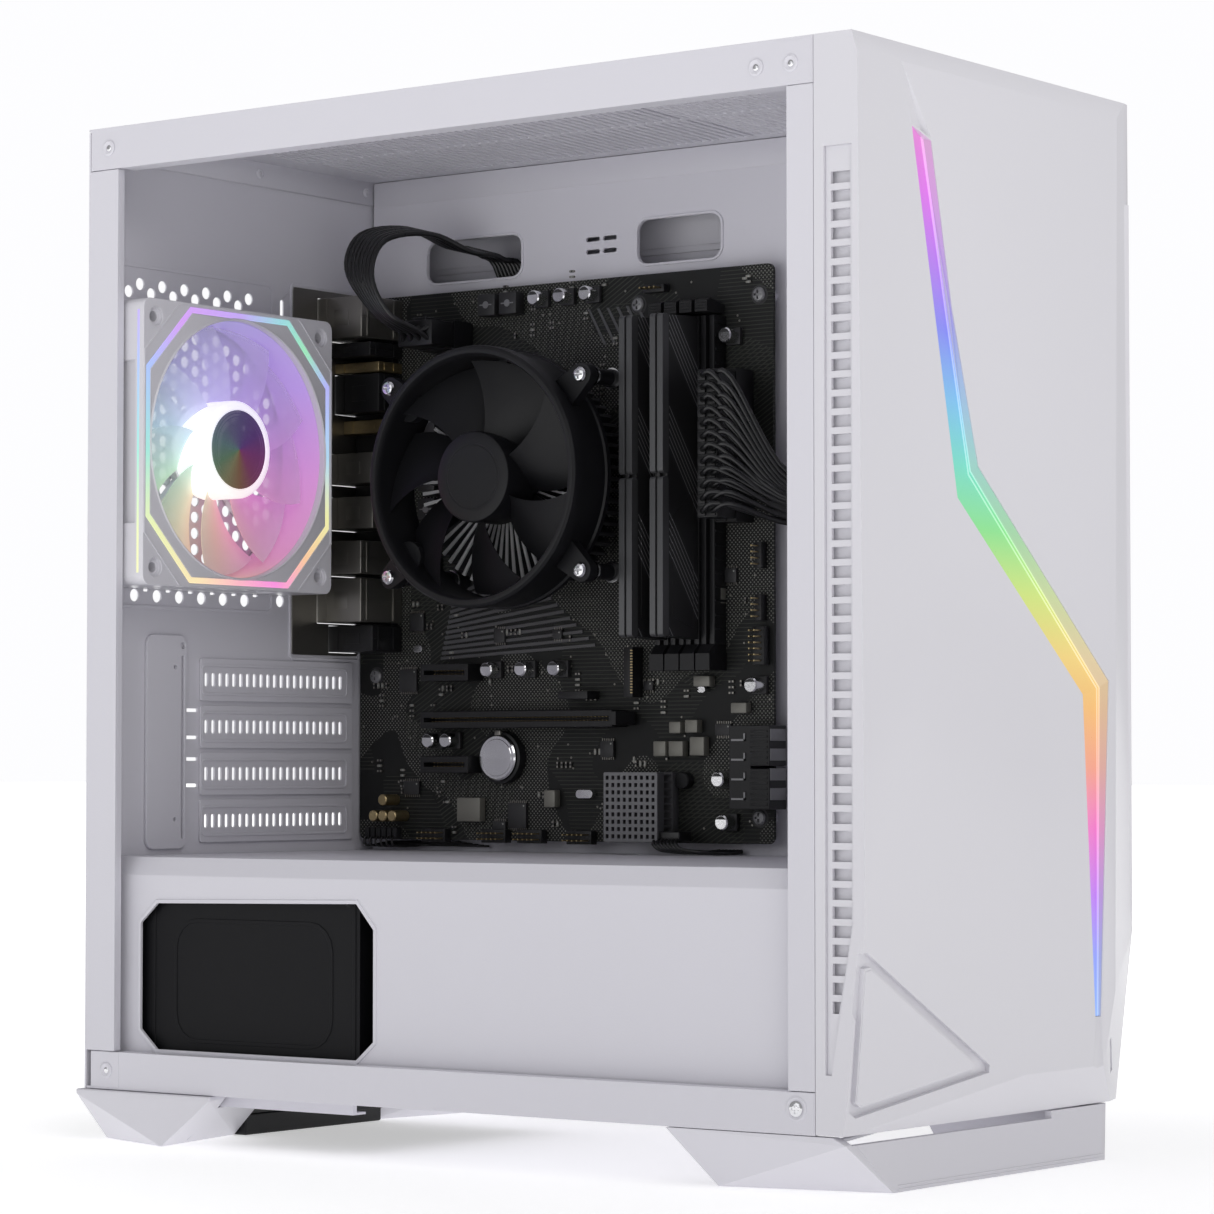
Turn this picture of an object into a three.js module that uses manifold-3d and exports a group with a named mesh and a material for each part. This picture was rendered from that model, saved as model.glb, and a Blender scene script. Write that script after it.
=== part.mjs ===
// A micro-ATX desktop computer tower with its open side to the left, as an assembly of separate pieces.
//
// X runs to the right as seen from the front, Y from the front to the back, and Z up, in millimetres.
// Inside this file y is the depth behind the front face and z the height above the case floor.
// The whole group is moved at the end, so that its origin is the middle of its base.

import * as THREE from "three";
import { ConvexGeometry } from "three/addons/geometries/ConvexGeometry.js";
import { mergeVertices } from "three/addons/utils/BufferGeometryUtils.js";
import Module from "manifold-3d";

// ---------------------------------------------------------------- driving dimensions

const HALF_WIDTH = 102.5; // the side planes of the case
const DEPTH = 384; // front face to the back of the rear wall
const HEIGHT = 400.6; // case floor to the top plate
const SHEET = 1; // steel sheet
const GAP = 0.3; // between pieces that touch
const FOOT = 22; // the feet lift the case by this
const FRONT_REACH = -3; // how far the chin leans out in front
const REAR_REACH = 391; // the thumb screws stand out this far

const PANEL_BACK = 19; // the plastic front panel ends here and the steel begins
const FRONT_WALL = PANEL_BACK + GAP;
const REAR_WALL = DEPTH - SHEET;
const INNER_REAR = REAR_WALL - GAP;
const RIGHT_EDGE = HALF_WIDTH - SHEET - GAP; // steel stops here, inside the right panel
const TOP_PLATE = HEIGHT - SHEET;
const RAIL_TOP = 383; // lower edge of the top left rail
const RAIL_BOTTOM = 15.5; // upper edge of the bottom left rail
const FRONT_POST = 31;
const REAR_POST = 367.2;

const SHROUD_FACE = -94.5; // the power supply cover is set back from the open side
const SHROUD_TOP = 96;
const SHROUD_CREASE = 88.5;
const TRAY_FACE = 80; // the sheet behind the motherboard
const BOARD_FACE = 71;
const BOARD_THICK = 1.6;
const BOARD_SEAT = BOARD_FACE - GAP; // what stands on the board stops here

const SLOT_PITCH = 20.32;
const FIRST_SLOT = 171;
const SLOT_COUNT = 4;
const SLITS = 21;

const REAR_FAN = { x: -37.4, z: 269, size: 120, front: 357, back: 382.4, bore: 55.2, hub: 21 };
const COOLER = { y: 269.7, z: 256.5, front: 10, back: 36, outer: 56, bore: 51.4, hub: 19.5 };
const POWER_SUPPLY = { x: [-91, 59], y: [244, INNER_REAR], z: [2.5, 88.5] };
const MEMORY = { pitch: 8, firstDepth: 206.5, low: 180, high: 324 };
const LOUVRES = { count: 45, top: 349.6, pitch: 6.84, tall: 4.4 };

const ARC_STEPS = 4;

// ---------------------------------------------------------------- making and cutting solids

const wasm = await Module();
wasm.setup();

const X = new THREE.Vector3(1, 0, 0);
const Y = new THREE.Vector3(0, 1, 0);
const Z = new THREE.Vector3(0, 0, 1);
const BASIS = {
  x: new THREE.Matrix4().makeBasis(Y, Z, X),
  y: new THREE.Matrix4().makeBasis(X, Z, Y.clone().negate()),
  z: new THREE.Matrix4(),
};

const count = (n) => Array.from({ length: n }, (_, i) => i);
const radians = (degrees) => (degrees * Math.PI) / 180;

// A closed three.js geometry as a solid that can be joined and cut.
function solidFrom(geometry) {
  const plain = geometry.index ? geometry.toNonIndexed() : geometry.clone();
  plain.deleteAttribute("normal");
  plain.deleteAttribute("uv");
  const merged = mergeVertices(plain, 1e-4);
  const vertProperties = new Float32Array(merged.getAttribute("position").array);
  const triVerts = new Uint32Array(merged.index.array);
  return new wasm.Manifold(new wasm.Mesh({ numProp: 3, vertProperties, triVerts }));
}

function geometryFrom(solid) {
  const mesh = solid.getMesh();
  const geometry = new THREE.BufferGeometry();
  geometry.setAttribute("position", new THREE.BufferAttribute(mesh.vertProperties, 3));
  geometry.setIndex(new THREE.BufferAttribute(mesh.triVerts, 1));
  geometry.computeVertexNormals();
  return geometry;
}

const join = (first, ...others) => others.reduce((whole, part) => whole.add(part), first);
const cut = (first, ...others) => others.reduce((whole, part) => whole.subtract(part), first);

// A box from its ranges along X, Y and Z.
function block(x, y, z) {
  const sizes = [x, y, z].map(([low, high]) => high - low);
  const middles = [x, y, z].map(([low, high]) => (low + high) / 2);
  return solidFrom(new THREE.BoxGeometry(...sizes).translate(...middles));
}

// An outline carried along an axis. Its points are (y, z) along x, (x, z) along y and (x, y) along z.
function prism(axis, outline, [from, to]) {
  const points = outline.map(([u, v]) => new THREE.Vector2(u, v));
  const depth = to - from;
  const geometry = new THREE.ExtrudeGeometry(new THREE.Shape(points), { depth, bevelEnabled: false });
  geometry.translate(0, 0, axis === "y" ? -to : from);
  geometry.applyMatrix4(BASIS[axis]);
  return solidFrom(geometry);
}

// A point from its two places across an axis and its place along it.
function at(axis, u, v, w) {
  const places = { x: [w, u, v], y: [u, w, v], z: [u, v, w] };
  return new THREE.Vector3(...places[axis]);
}

const hull = (points) => solidFrom(new ConvexGeometry(points));
const hullOf = (...points) => hull(points.map((p) => new THREE.Vector3(...p)));

function discOutline(u, v, radius, sides) {
  const turn = (i) => (2 * Math.PI * (i + 0.5)) / sides;
  return count(sides).map((i) => [u + radius * Math.cos(turn(i)), v + radius * Math.sin(turn(i))]);
}

function disc(axis, u, v, radius, span, sides = 24) {
  return prism(axis, discOutline(u, v, radius, sides), span);
}

// A rectangle with round corners.
function softRectangle([u0, u1], [v0, v1], radius) {
  const corners = [
    [u1 - radius, v0 + radius, -90],
    [u1 - radius, v1 - radius, 0],
    [u0 + radius, v1 - radius, 90],
    [u0 + radius, v0 + radius, 180],
  ];
  return corners.flatMap(([u, v, start]) =>
    count(ARC_STEPS).map((i) => {
      const angle = radians(start + (90 * i) / (ARC_STEPS - 1));
      return [u + radius * Math.cos(angle), v + radius * Math.sin(angle)];
    }),
  );
}

// A rectangle with its corners cut off.
function octagon([u0, u1], [v0, v1], chamfer) {
  return [
    [u0 + chamfer, v0],
    [u1 - chamfer, v0],
    [u1, v0 + chamfer],
    [u1, v1 - chamfer],
    [u1 - chamfer, v1],
    [u0 + chamfer, v1],
    [u0, v1 - chamfer],
    [u0, v0 + chamfer],
  ];
}

// The space outside the plane through three points, on the side away from the middle of the case.
function beyond(a, b, c) {
  const [pa, pb, pc] = [a, b, c].map((p) => new THREE.Vector3(...p));
  const normal = pb.clone().sub(pa).cross(pc.clone().sub(pa)).normalize();
  const inward = new THREE.Vector3(0, DEPTH / 2, HEIGHT / 2).sub(pa);
  if (normal.dot(inward) > 0) normal.negate();
  const reach = 900;
  const geometry = new THREE.BoxGeometry(reach, reach, reach);
  geometry.translate(0, 0, reach / 2);
  geometry.applyQuaternion(new THREE.Quaternion().setFromUnitVectors(Z, normal));
  geometry.translate(pa.x, pa.y, pa.z);
  return solidFrom(geometry);
}

// A round cable along a smooth line.
function cable(points, radius, steps, sides = 8) {
  const path = new THREE.CatmullRomCurve3(points.map((p) => new THREE.Vector3(...p)));
  const section = discOutline(0, 0, radius, sides).map(([u, v]) => new THREE.Vector2(u, v));
  const shape = new THREE.Shape(section);
  return solidFrom(new THREE.ExtrudeGeometry(shape, { extrudePath: path, steps }));
}

// One swept fan blade as two short lengths, from the hub's wall out to its tip.
function blade(axis, u, v, radii, span, angle, width, sweep, thick) {
  const lengths = 2;
  const section = (share) => {
    const radius = radii[0] + (radii[1] - radii[0]) * share;
    const start = angle + sweep * share;
    return [
      [start, span[0]],
      [start + width, span[1]],
    ].flatMap(([degrees, place]) =>
      [0, thick].map((lift) => {
        const turn = radians(degrees);
        return at(axis, u + radius * Math.cos(turn), v + radius * Math.sin(turn), place + lift);
      }),
    );
  };
  const pieces = count(lengths).map((i) => hull([...section(i / lengths), ...section((i + 1) / lengths)]));
  return join(...pieces);
}

function rotor(axis, u, v, { hub, tip, hubSpan, bladeSpan, blades, width, sweep, thick }) {
  const root = hub - 1.5;
  const vanes = count(blades).map((i) =>
    blade(axis, u, v, [root, tip], bladeSpan, (360 * i) / blades, width, sweep, thick),
  );
  return join(disc(axis, u, v, hub, hubSpan, 28), ...vanes);
}

// ---------------------------------------------------------------- finishes

const finish = (color, roughness, metalness = 0) =>
  new THREE.MeshStandardMaterial({ color, roughness, metalness });

const WHITE_STEEL = finish(0xdcdae2, 0.45);
const WHITE_PLASTIC = finish(0xe2e0e7, 0.3);
const FROSTED = finish(0xf4f4fa, 0.35);
const LIGHT = finish(0xc8b8f0, 0.3);
const BLACK_PLASTIC = finish(0x17171a, 0.45);
const BLACK_STEEL = finish(0x1c1c1f, 0.5);
const BOARD_BLACK = finish(0x1a1b1a, 0.5);
const FIN_METAL = finish(0x33343a, 0.4, 0.8);
const BRIGHT_METAL = finish(0xb9b7b0, 0.3, 1);
const CABLE_BLACK = finish(0x141416, 0.5);
const MESH_BLACK = finish(0x222226, 0.7);

const tower = new THREE.Group();

function piece(group, name, solid, material) {
  const mesh = new THREE.Mesh(geometryFrom(solid), material);
  mesh.name = name;
  group.add(mesh);
}

function assembly() {
  const group = new THREE.Group();
  tower.add(group);
  return group;
}

// ---------------------------------------------------------------- steel case

function chassisFloor() {
  const plate = block([-HALF_WIDTH, RIGHT_EDGE], [FRONT_WALL, INNER_REAR], [0, SHEET]);
  const rail = block([-HALF_WIDTH, -HALF_WIDTH + SHEET], [FRONT_WALL, 380.3], [0, RAIL_BOTTOM]);
  const lip = block([-HALF_WIDTH, -95.3], [FRONT_POST + GAP, 366.9], [RAIL_BOTTOM - SHEET, RAIL_BOTTOM]);
  const guides = [
    [-88, -85.5, -80],
    [49.5, 54.5, 52],
  ].map(([low, high, mid]) => {
    const wall = low < 0 ? [low, high] : [mid + 0.5, high + 0.5];
    const ledge = low < 0 ? [low, mid] : [low - 3, high + 0.5];
    return join(block(wall, [250, 380], [-5.6, 0.5]), block(ledge, [250, 380], [-5.6, -4.6]));
  });
  const vents = count(9).map((i) =>
    prism("z", softRectangle([-70 + 12.5 * i, -62 + 12.5 * i], [262, 364], 3), [-1, 2]),
  );
  return cut(join(plate, rail, lip, ...guides), ...vents);
}

// Staggered six-sided air holes inside the fan's circle.
function fanHoles(span) {
  const [across, up] = [17, 14.7];
  const holes = count(7).flatMap((row) =>
    count(7).map((column) => [
      REAR_FAN.x + (column - 3 + (row % 2) / 2) * across,
      REAR_FAN.z + (row - 3) * up,
    ]),
  );
  const inside = ([x, z]) => Math.hypot(x - REAR_FAN.x, z - REAR_FAN.z) < 50;
  return holes.filter(inside).map(([x, z]) => disc("y", x, z, 6.6, span, 6));
}

const slotHeight = (index) => FIRST_SLOT - SLOT_PITCH * index;

function chassisRear() {
  const through = [REAR_WALL - 1, DEPTH + 1];
  const wall = block([-HALF_WIDTH, RIGHT_EDGE], [REAR_WALL, DEPTH], [0, TOP_PLATE - GAP]);
  const [low, high] = [RAIL_BOTTOM + GAP, RAIL_TOP - GAP];
  const post = block([-HALF_WIDTH, -HALF_WIDTH + SHEET], [REAR_POST, DEPTH], [low, high]);
  const lip = block([-HALF_WIDTH, -98.5], [REAR_POST, REAR_POST + SHEET], [low, high]);
  const portWindow = block([27, 70], through, [184, 346.6]);
  const slots = count(SLOT_COUNT).map((i) =>
    block([-33, 64], through, [slotHeight(i) - 6, slotHeight(i) + 6]),
  );
  const supplyWindow = block([-88, 56], through, [5.5, 85.5]);
  return cut(join(wall, post, lip), ...fanHoles(through), portWindow, ...slots, supplyWindow);
}

function chassisTop() {
  const plate = block([-HALF_WIDTH, RIGHT_EDGE], [FRONT_WALL, DEPTH], [TOP_PLATE, HEIGHT]);
  const rail = block([-HALF_WIDTH, -HALF_WIDTH + SHEET], [FRONT_WALL, INNER_REAR], [RAIL_TOP, HEIGHT]);
  const lip = block([-HALF_WIDTH, -93], [FRONT_POST + GAP, 366.9], [RAIL_TOP, RAIL_TOP + SHEET]);
  const rearFlange = block([-101, 100], [INNER_REAR - SHEET, INNER_REAR], [389, HEIGHT]);
  const rightFlange = block([RIGHT_EDGE - SHEET, RIGHT_EDGE], [32, 381], [386, HEIGHT]);
  const columns = [-84, -42, 0, 42];
  const slant = 8;
  const slits = columns.flatMap((x) =>
    count(11).map((i) => {
      const y = 170 + 17.6 * i;
      const outline = [
        [x, y],
        [x + 34, y + slant],
        [x + 34, y + slant + 5],
        [x, y + 5],
      ];
      return prism("z", outline, [TOP_PLATE - 1, HEIGHT + 1]);
    }),
  );
  const portHole = block([-60.3, 60.3], [26, 54], [TOP_PLATE - 1, HEIGHT + 1]);
  return cut(join(plate, rail, lip, rearFlange, rightFlange), ...slits, portHole);
}

function chassisFront() {
  const [low, high] = [RAIL_BOTTOM + GAP, RAIL_TOP - GAP];
  const inner = -HALF_WIDTH + SHEET + GAP;
  const wall = block([inner, RIGHT_EDGE], [FRONT_WALL, FRONT_WALL + SHEET], [SHEET + GAP, TOP_PLATE - GAP]);
  const edge = block([-HALF_WIDTH, 0], [FRONT_WALL, FRONT_WALL + SHEET], [low, high]);
  const post = block([-HALF_WIDTH, -HALF_WIDTH + SHEET], [FRONT_WALL, FRONT_POST], [low, high]);
  const lip = block([-HALF_WIDTH, -88], [FRONT_POST - SHEET, FRONT_POST], [low, high]);
  const air = prism("y", softRectangle([-66, 66], [112, 374], 12), [FRONT_WALL - 1, FRONT_WALL + 2]);
  return cut(join(wall, edge, post, lip), air);
}

function motherboardTray() {
  const span = [TRAY_FACE, TRAY_FACE + SHEET];
  const through = [TRAY_FACE - 1, TRAY_FACE + SHEET + 1];
  const sheet = block(span, [FRONT_WALL + SHEET + GAP, INNER_REAR - SHEET - GAP], [SHEET + GAP, 388.6]);
  const openings = [
    softRectangle([296, 349.7], [351, 369.4], 5),
    softRectangle([188, 232], [351, 370], 5),
    softRectangle([236, 304], [214, 300], 6),
    softRectangle([96, 132], [205, 305], 8),
    softRectangle([185, 232], [30, 84], 8),
    softRectangle([243.5, 251], [362.9, 364.9], 0.9),
    softRectangle([252.7, 260.2], [362.9, 364.9], 0.9),
    softRectangle([243.5, 251], [357.4, 359.4], 0.9),
    softRectangle([252.7, 260.2], [357.4, 359.4], 0.9),
  ].map((outline) => prism("x", outline, through));
  const standoffs = [
    [371.6, 174.2],
    [371.6, 332],
    [225, 112],
    [225, 332],
    [162, 112],
    [162, 332],
  ].map(([y, z]) => disc("x", y, z, 3, [BOARD_FACE + BOARD_THICK + GAP, TRAY_FACE + 0.5], 8));
  return join(cut(sheet, ...openings), ...standoffs);
}

const windowOutline = [
  [350.3, 16.9],
  [359.5, 25],
  [359.5, 68.9],
  [350.3, 77],
  [242.8, 78.8],
  [233.9, 68.7],
  [233.9, 24.5],
  [242.8, 16.9],
]; // anticlockwise in (y, z)

// An anticlockwise outline with each of its edges moved outwards.
function grown(outline, distance) {
  const points = outline.map(([u, v]) => new THREE.Vector2(u, v));
  const last = points.length - 1;
  return points.map((point, i) => {
    const before = point.clone().sub(points[i ? i - 1 : last]).normalize();
    const after = points[i < last ? i + 1 : 0].clone().sub(point).normalize();
    const [a, b] = [before, after].map((edge) => new THREE.Vector2(edge.y, -edge.x));
    const share = distance / (1 + a.dot(b));
    return [point.x + (a.x + b.x) * share, point.y + (a.y + b.y) * share];
  });
}

function powerSupplyShroud() {
  const section = [
    [SHROUD_FACE, SHEET + GAP],
    [SHROUD_FACE + SHEET, SHEET + GAP],
    [SHROUD_FACE + SHEET, SHROUD_CREASE - 0.4],
    [SHROUD_FACE + 4.6, SHROUD_TOP - SHEET],
    [TRAY_FACE - GAP, SHROUD_TOP - SHEET],
    [TRAY_FACE - GAP, SHROUD_TOP],
    [SHROUD_FACE + 4, SHROUD_TOP],
    [SHROUD_FACE, SHROUD_CREASE],
  ];
  const sheet = prism("y", section, [FRONT_POST + GAP, INNER_REAR]);
  const rim = prism("x", grown(windowOutline, 1.6), [SHROUD_FACE - 0.6, SHROUD_FACE + 0.5]);
  const opening = prism("x", windowOutline, [SHROUD_FACE - 2, SHROUD_FACE + 3]);
  const cableHole = prism("z", softRectangle([58, 76], [184, 232], 5), [SHROUD_TOP - 3, SHROUD_TOP + 2]);
  return cut(join(sheet, rim), opening, cableHole);
}

function slotBracket() {
  const plate = prism("y", softRectangle([-68.6, -43.9], [98.4, 189.6], 4), [381.4, INNER_REAR]);
  return cut(plate, block([-47.4, -45.6], [380, 384], [102, 181]));
}

function slotCover(index) {
  const middle = slotHeight(index);
  const plate = block([-40, 66.3], [INNER_REAR - SHEET, INNER_REAR], [middle - 9.2, middle + 9.2]);
  const slits = count(SLITS).map((i) => {
    const x = -31.1 + (88.8 * i) / (SLITS - 1);
    return block([x - 1.1, x + 1.1], [381, 383.5], [middle - 2.95, middle + 2.95]);
  });
  return cut(plate, ...slits);
}

// ---------------------------------------------------------------- feet

// A raked leg: its outer side is two triangles that meet on a crease, and it is hollow behind them.
function frontFoot() {
  const top = -GAP;
  const leftLeg = hullOf(
    [-HALF_WIDTH, 86, top],
    [-HALF_WIDTH, 12, top],
    [-HALF_WIDTH + 0.5, 6.5, -3],
    [-91.7, 69.5, -FOOT],
    [-74, 4, -FOOT],
    [-60, 86, top],
    [-60, 6.5, top],
    [-60, 69.5, -FOOT],
    [-60, 4, -FOOT],
  );
  const leftHollow = hullOf(
    [-HALF_WIDTH + 4, 90, 1],
    [-HALF_WIDTH + 4, 12, 1],
    [-HALF_WIDTH + 4, 9.5, -3],
    [-86, 72, -FOOT + 3],
    [-70, 8, -FOOT + 3],
    [-50, 90, 1],
    [-50, 9.5, 1],
    [-50, 72, -FOOT + 3],
    [-50, 8, -FOOT + 3],
  );
  const slot = block([-98, 43.5], [0, 10], [-3.2, 1]);
  const bar = hullOf(
    [-98, 6.5, top],
    [86, 6.5, top],
    [-74, 4, -FOOT],
    [79, 4, -FOOT],
    [-98, 9.5, top],
    [86, 9.5, top],
    [-74, 22, -FOOT],
    [79, 22, -FOOT],
  );
  const barHollow = hullOf(
    [-97, 9.5, 1],
    [85, 9.5, 1],
    [-97, 7.5, -FOOT + 3],
    [78, 7.5, -FOOT + 3],
    [-97, 30, 1],
    [85, 30, 1],
    [-97, 30, -FOOT + 3],
    [78, 30, -FOOT + 3],
  );
  const rightLeg = hullOf(
    [89, 8, top],
    [81, 4, -FOOT],
    [89, 86, top],
    [81, 69.5, -FOOT],
    [70, 8, top],
    [66, 4, -FOOT],
    [70, 86, top],
    [66, 69.5, -FOOT],
  );
  const left = cut(leftLeg, leftHollow);
  const front = cut(bar, barHollow);
  return join(cut(join(left, front), slot), rightLeg);
}

function rearFoot(side) {
  const top = -GAP;
  const corners = [
    [-104.5, 387, top],
    [-104.5, 387, -2],
    [-104.5, 312, top],
    [-104.5, 312, -2],
    [-103, 340, -FOOT],
    [-88, 385, -FOOT],
    [-45, 352, -FOOT],
    [-45, 385, -FOOT],
    [-45, 330, top],
    [-45, 387, top],
  ];
  const body = hullOf(...corners.map(([x, y, z]) => [x * -side, y, z]));
  const rails = side < 0 ? [-89, -40] : [40, 56];
  return cut(body, block(rails, [300, 390], [-6, 1]));
}

function rearFootBar() {
  return hullOf(
    [-44.5, 346, -13],
    [44.5, 346, -13],
    [-44.5, 346, -FOOT],
    [44.5, 346, -FOOT],
    [-44.5, 370, -13],
    [44.5, 370, -13],
    [-44.5, 370, -FOOT],
    [44.5, 370, -FOOT],
  );
}

// ---------------------------------------------------------------- panels, filters and top ports

function rightSidePanel() {
  const sheet = block([HALF_WIDTH - SHEET, HALF_WIDTH], [FRONT_WALL, DEPTH + 1.3], [GAP, HEIGHT - GAP]);
  const rearFlange = block([92, HALF_WIDTH], [DEPTH + GAP, DEPTH + 1.3], [12, 392]);
  const screws = [60, 350].map((z) => disc("y", 95.4, z, 3.4, [DEPTH + 1, REAR_REACH], 16));
  return join(sheet, rearFlange, ...screws);
}

// Places on the leaning front face.
const faceDepth = (z) => (FRONT_REACH * (393 - z)) / 377;
const onFace = (x, z) => [x, faceDepth(z), z];

function frontBody() {
  const profile = [
    [faceDepth(GAP), GAP],
    [PANEL_BACK, GAP],
    [PANEL_BACK, HEIGHT],
    [2.5, HEIGHT],
    [faceDepth(393), 393],
  ];
  const whole = prism("x", profile, [-HALF_WIDTH, HALF_WIDTH]);
  const chin = beyond([0, 7, 0], [-10, 7, 0], onFace(0, 16.3));
  const leftFacet = beyond([-HALF_WIDTH, -2.6, 76.7], [-HALF_WIDTH, 7, 0.5], onFace(9.2, 16.3));
  const rightFacet = beyond([HALF_WIDTH, 2, 77], onFace(68, 16.3), [91, 7, 0]);
  const rightChamfer = beyond(onFace(88, 393), onFace(82.5, 197), [HALF_WIDTH, 3.2, 197]);
  return cut(whole, chin, leftFacet, rightFacet, rightChamfer);
}

const lightOutline = [
  [-65.9, 370],
  [-52, 304.2],
  [-36.5, 233.8],
  [55.2, 161.6],
  [62.2, 35.5],
  [66.5, 35.5],
  [76, 167.3],
  [-21.1, 246.3],
  [-39.2, 305.4],
  [-52.5, 366],
];

// The tapering recess that holds a strip of louvres, on either side of the front panel.
const ventOutline = (inset) => [
  [2.6 + inset, 359.1 - inset],
  [2.6 + inset, 76.7 - inset],
  [12 + inset, 22 + inset],
  [14.7 - inset, 22 + inset],
  [14.7 - inset, 359.1 - inset],
];

function frontPanelShell() {
  const outside = frontBody();
  const inside = block([-100, 100], [-5, PANEL_BACK + 2], [3, 398]);
  const hollow = outside.translate([0, 2.6, 0]).intersect(inside);
  const lightSlot = prism("y", lightOutline, [-10, 8]);
  const ventHoles = [-1, 1].map((side) => {
    const span = [side * HALF_WIDTH - 3, side * HALF_WIDTH + 3];
    return prism("x", ventOutline(0), span);
  });
  return cut(outside, hollow, lightSlot, ...ventHoles);
}

function frontLightBar() {
  const bar = prism("y", grown(lightOutline, -GAP), [-10, 4.2]);
  const inner = frontBody().translate([0, 1.4, 0]);
  return bar.intersect(inner);
}

function frontVent(side) {
  const outer = side * (HALF_WIDTH - 1.2);
  const inner = side * (HALF_WIDTH - 2.7);
  const span = [Math.min(outer, inner), Math.max(outer, inner)];
  const strip = prism("x", ventOutline(GAP), span);
  const reach = [span[0] - 1, span[1] + 1];
  const field = prism("x", ventOutline(1.3), reach);
  const slots = count(LOUVRES.count).map((i) => {
    const high = LOUVRES.top - LOUVRES.pitch * i;
    return block(reach, [3.9, 12.3], [high - LOUVRES.tall, high]).intersect(field);
  });
  return cut(strip, ...slots);
}

const POWER_BUTTON = { x: -44, y: 40, radius: 7 };
const RESET_BUTTON = { x: -26, y: 40, radius: 3.5 };
const BUTTON_TOP = HEIGHT + 1.6;

function topIoPanel() {
  const plate = block([-60, 60], [26.3, 53.7], [HEIGHT - SHEET, HEIGHT + 0.6]);
  const housing = block([-56, 56], [30, 50], [386, HEIGHT]);
  const wells = [POWER_BUTTON, RESET_BUTTON].map(({ x, y, radius }) =>
    disc("z", x, y, radius + GAP, [390, HEIGHT + 3]),
  );
  const sockets = [-7, 11, 29].map((x) => block([x, x + 12.6], [36.8, 43.2], [388.5, HEIGHT + 3]));
  const jacks = [48.5, 54].map((x) => disc("z", x, 40, 1.8, [389, HEIGHT + 3], 10));
  return cut(join(plate, housing), ...wells, ...sockets, ...jacks);
}

function pushButton({ x, y, radius }) {
  return disc("z", x, y, radius, [392, BUTTON_TOP]);
}

// A framed sheet of mesh, with bars in place of the fine weave.
function filterSheet(x, y, z, border, bars) {
  const frame = block(x, y, z);
  const [left, right] = [x[0] + border, x[1] - border];
  const pitch = (right - left) / bars;
  const holes = count(bars).map((i) => {
    const from = left + pitch * i;
    return block([from, from + pitch - 2], [y[0] + border, y[1] - border], [z[0] - 1, z[1] + 1]);
  });
  return cut(frame, ...holes);
}

// ---------------------------------------------------------------- rear fan

function rearFanFrame() {
  const { x, z, size, front, back, bore } = REAR_FAN;
  const half = size / 2;
  const outline = softRectangle([x - half, x + half], [z - half, z + half], 3);
  const boreHole = disc("y", x, z, bore, [front - 1, back + 1], 32);
  const holes = [-1, 1].flatMap((i) =>
    [-1, 1].map((k) => disc("y", x + i * 52.5, z + k * 52.5, 2.2, [front - 1, back + 1], 8)),
  );
  const groove = lightRing(0, [front - 1, front + 2.4]);
  const frame = cut(prism("y", outline, [front, back]), boreHole, ...holes, groove);
  const mount = disc("y", x, z, 20, [back - 4, back]);
  const struts = [45, 135, 225, 315].map((degrees) => {
    const turn = radians(degrees);
    const reach = bore + 2;
    const [du, dv] = [Math.cos(turn), Math.sin(turn)];
    const strut = [
      [x + 16 * du - 2 * dv, z + 16 * dv + 2 * du],
      [x + 16 * du + 2 * dv, z + 16 * dv - 2 * du],
      [x + reach * du + 2 * dv, z + reach * dv - 2 * du],
      [x + reach * du - 2 * dv, z + reach * dv + 2 * du],
    ];
    return prism("y", strut, [back - 3, back]);
  });
  return join(frame, mount, ...struts);
}

// The eight-sided light strip that lies in the frame's front face.
function lightRing(inset, span) {
  const { x, z } = REAR_FAN;
  const band = (half) => octagon([x - half, x + half], [z - half, z + half], half * 0.46);
  return cut(prism("y", band(58 - inset), span), prism("y", band(55.9 + inset), [span[0] - 1, span[1] + 1]));
}

function rearFanRotor() {
  return rotor("y", REAR_FAN.x, REAR_FAN.z, {
    hub: REAR_FAN.hub,
    tip: 53.4,
    hubSpan: [357.6, 376],
    bladeSpan: [360, 374],
    blades: 9,
    width: 34,
    sweep: 16,
    thick: 1.6,
  });
}

// ---------------------------------------------------------------- processor cooler

const COOLER_EARS = [-1, 1].flatMap((i) =>
  [-1, 1].map((k) => [COOLER.y + i * 52, COOLER.z + k * 41]),
);

function coolerFanFrame() {
  const { y, z, front, back, outer, bore } = COOLER;
  const ring = disc("x", y, z, outer, [front, back], 32);
  const hole = disc("x", y, z, bore, [front - 1, back + 1], 32);
  const mount = disc("x", y, z, 18, [back - 4, back]);
  const struts = [90, 210, 330].map((degrees) => {
    const turn = radians(degrees);
    const [du, dv] = [Math.cos(turn), Math.sin(turn)];
    const reach = bore + 2;
    const strut = [
      [y + 14 * du - 2.5 * dv, z + 14 * dv + 2.5 * du],
      [y + 14 * du + 2.5 * dv, z + 14 * dv - 2.5 * du],
      [y + reach * du + 2.5 * dv, z + reach * dv - 2.5 * du],
      [y + reach * du - 2.5 * dv, z + reach * dv + 2.5 * du],
    ];
    return prism("x", strut, [back - 3, back]);
  });
  const ears = COOLER_EARS.map(([v, w]) => {
    const inward = [v + (y - v) * 0.25, w + (z - w) * 0.25];
    const lobe = hull(
      [
        [v, w, 5],
        [...inward, 7],
      ].flatMap(([p, q, radius]) =>
        [20, 25].flatMap((x) => discOutline(p, q, radius, 8).map(([a, b]) => at("x", a, b, x))),
      ),
    );
    const post = disc("x", v, w, 2.6, [16, BOARD_SEAT], 10);
    return join(lobe, post);
  });
  return join(cut(join(ring, ...ears), hole), mount, ...struts);
}

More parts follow.
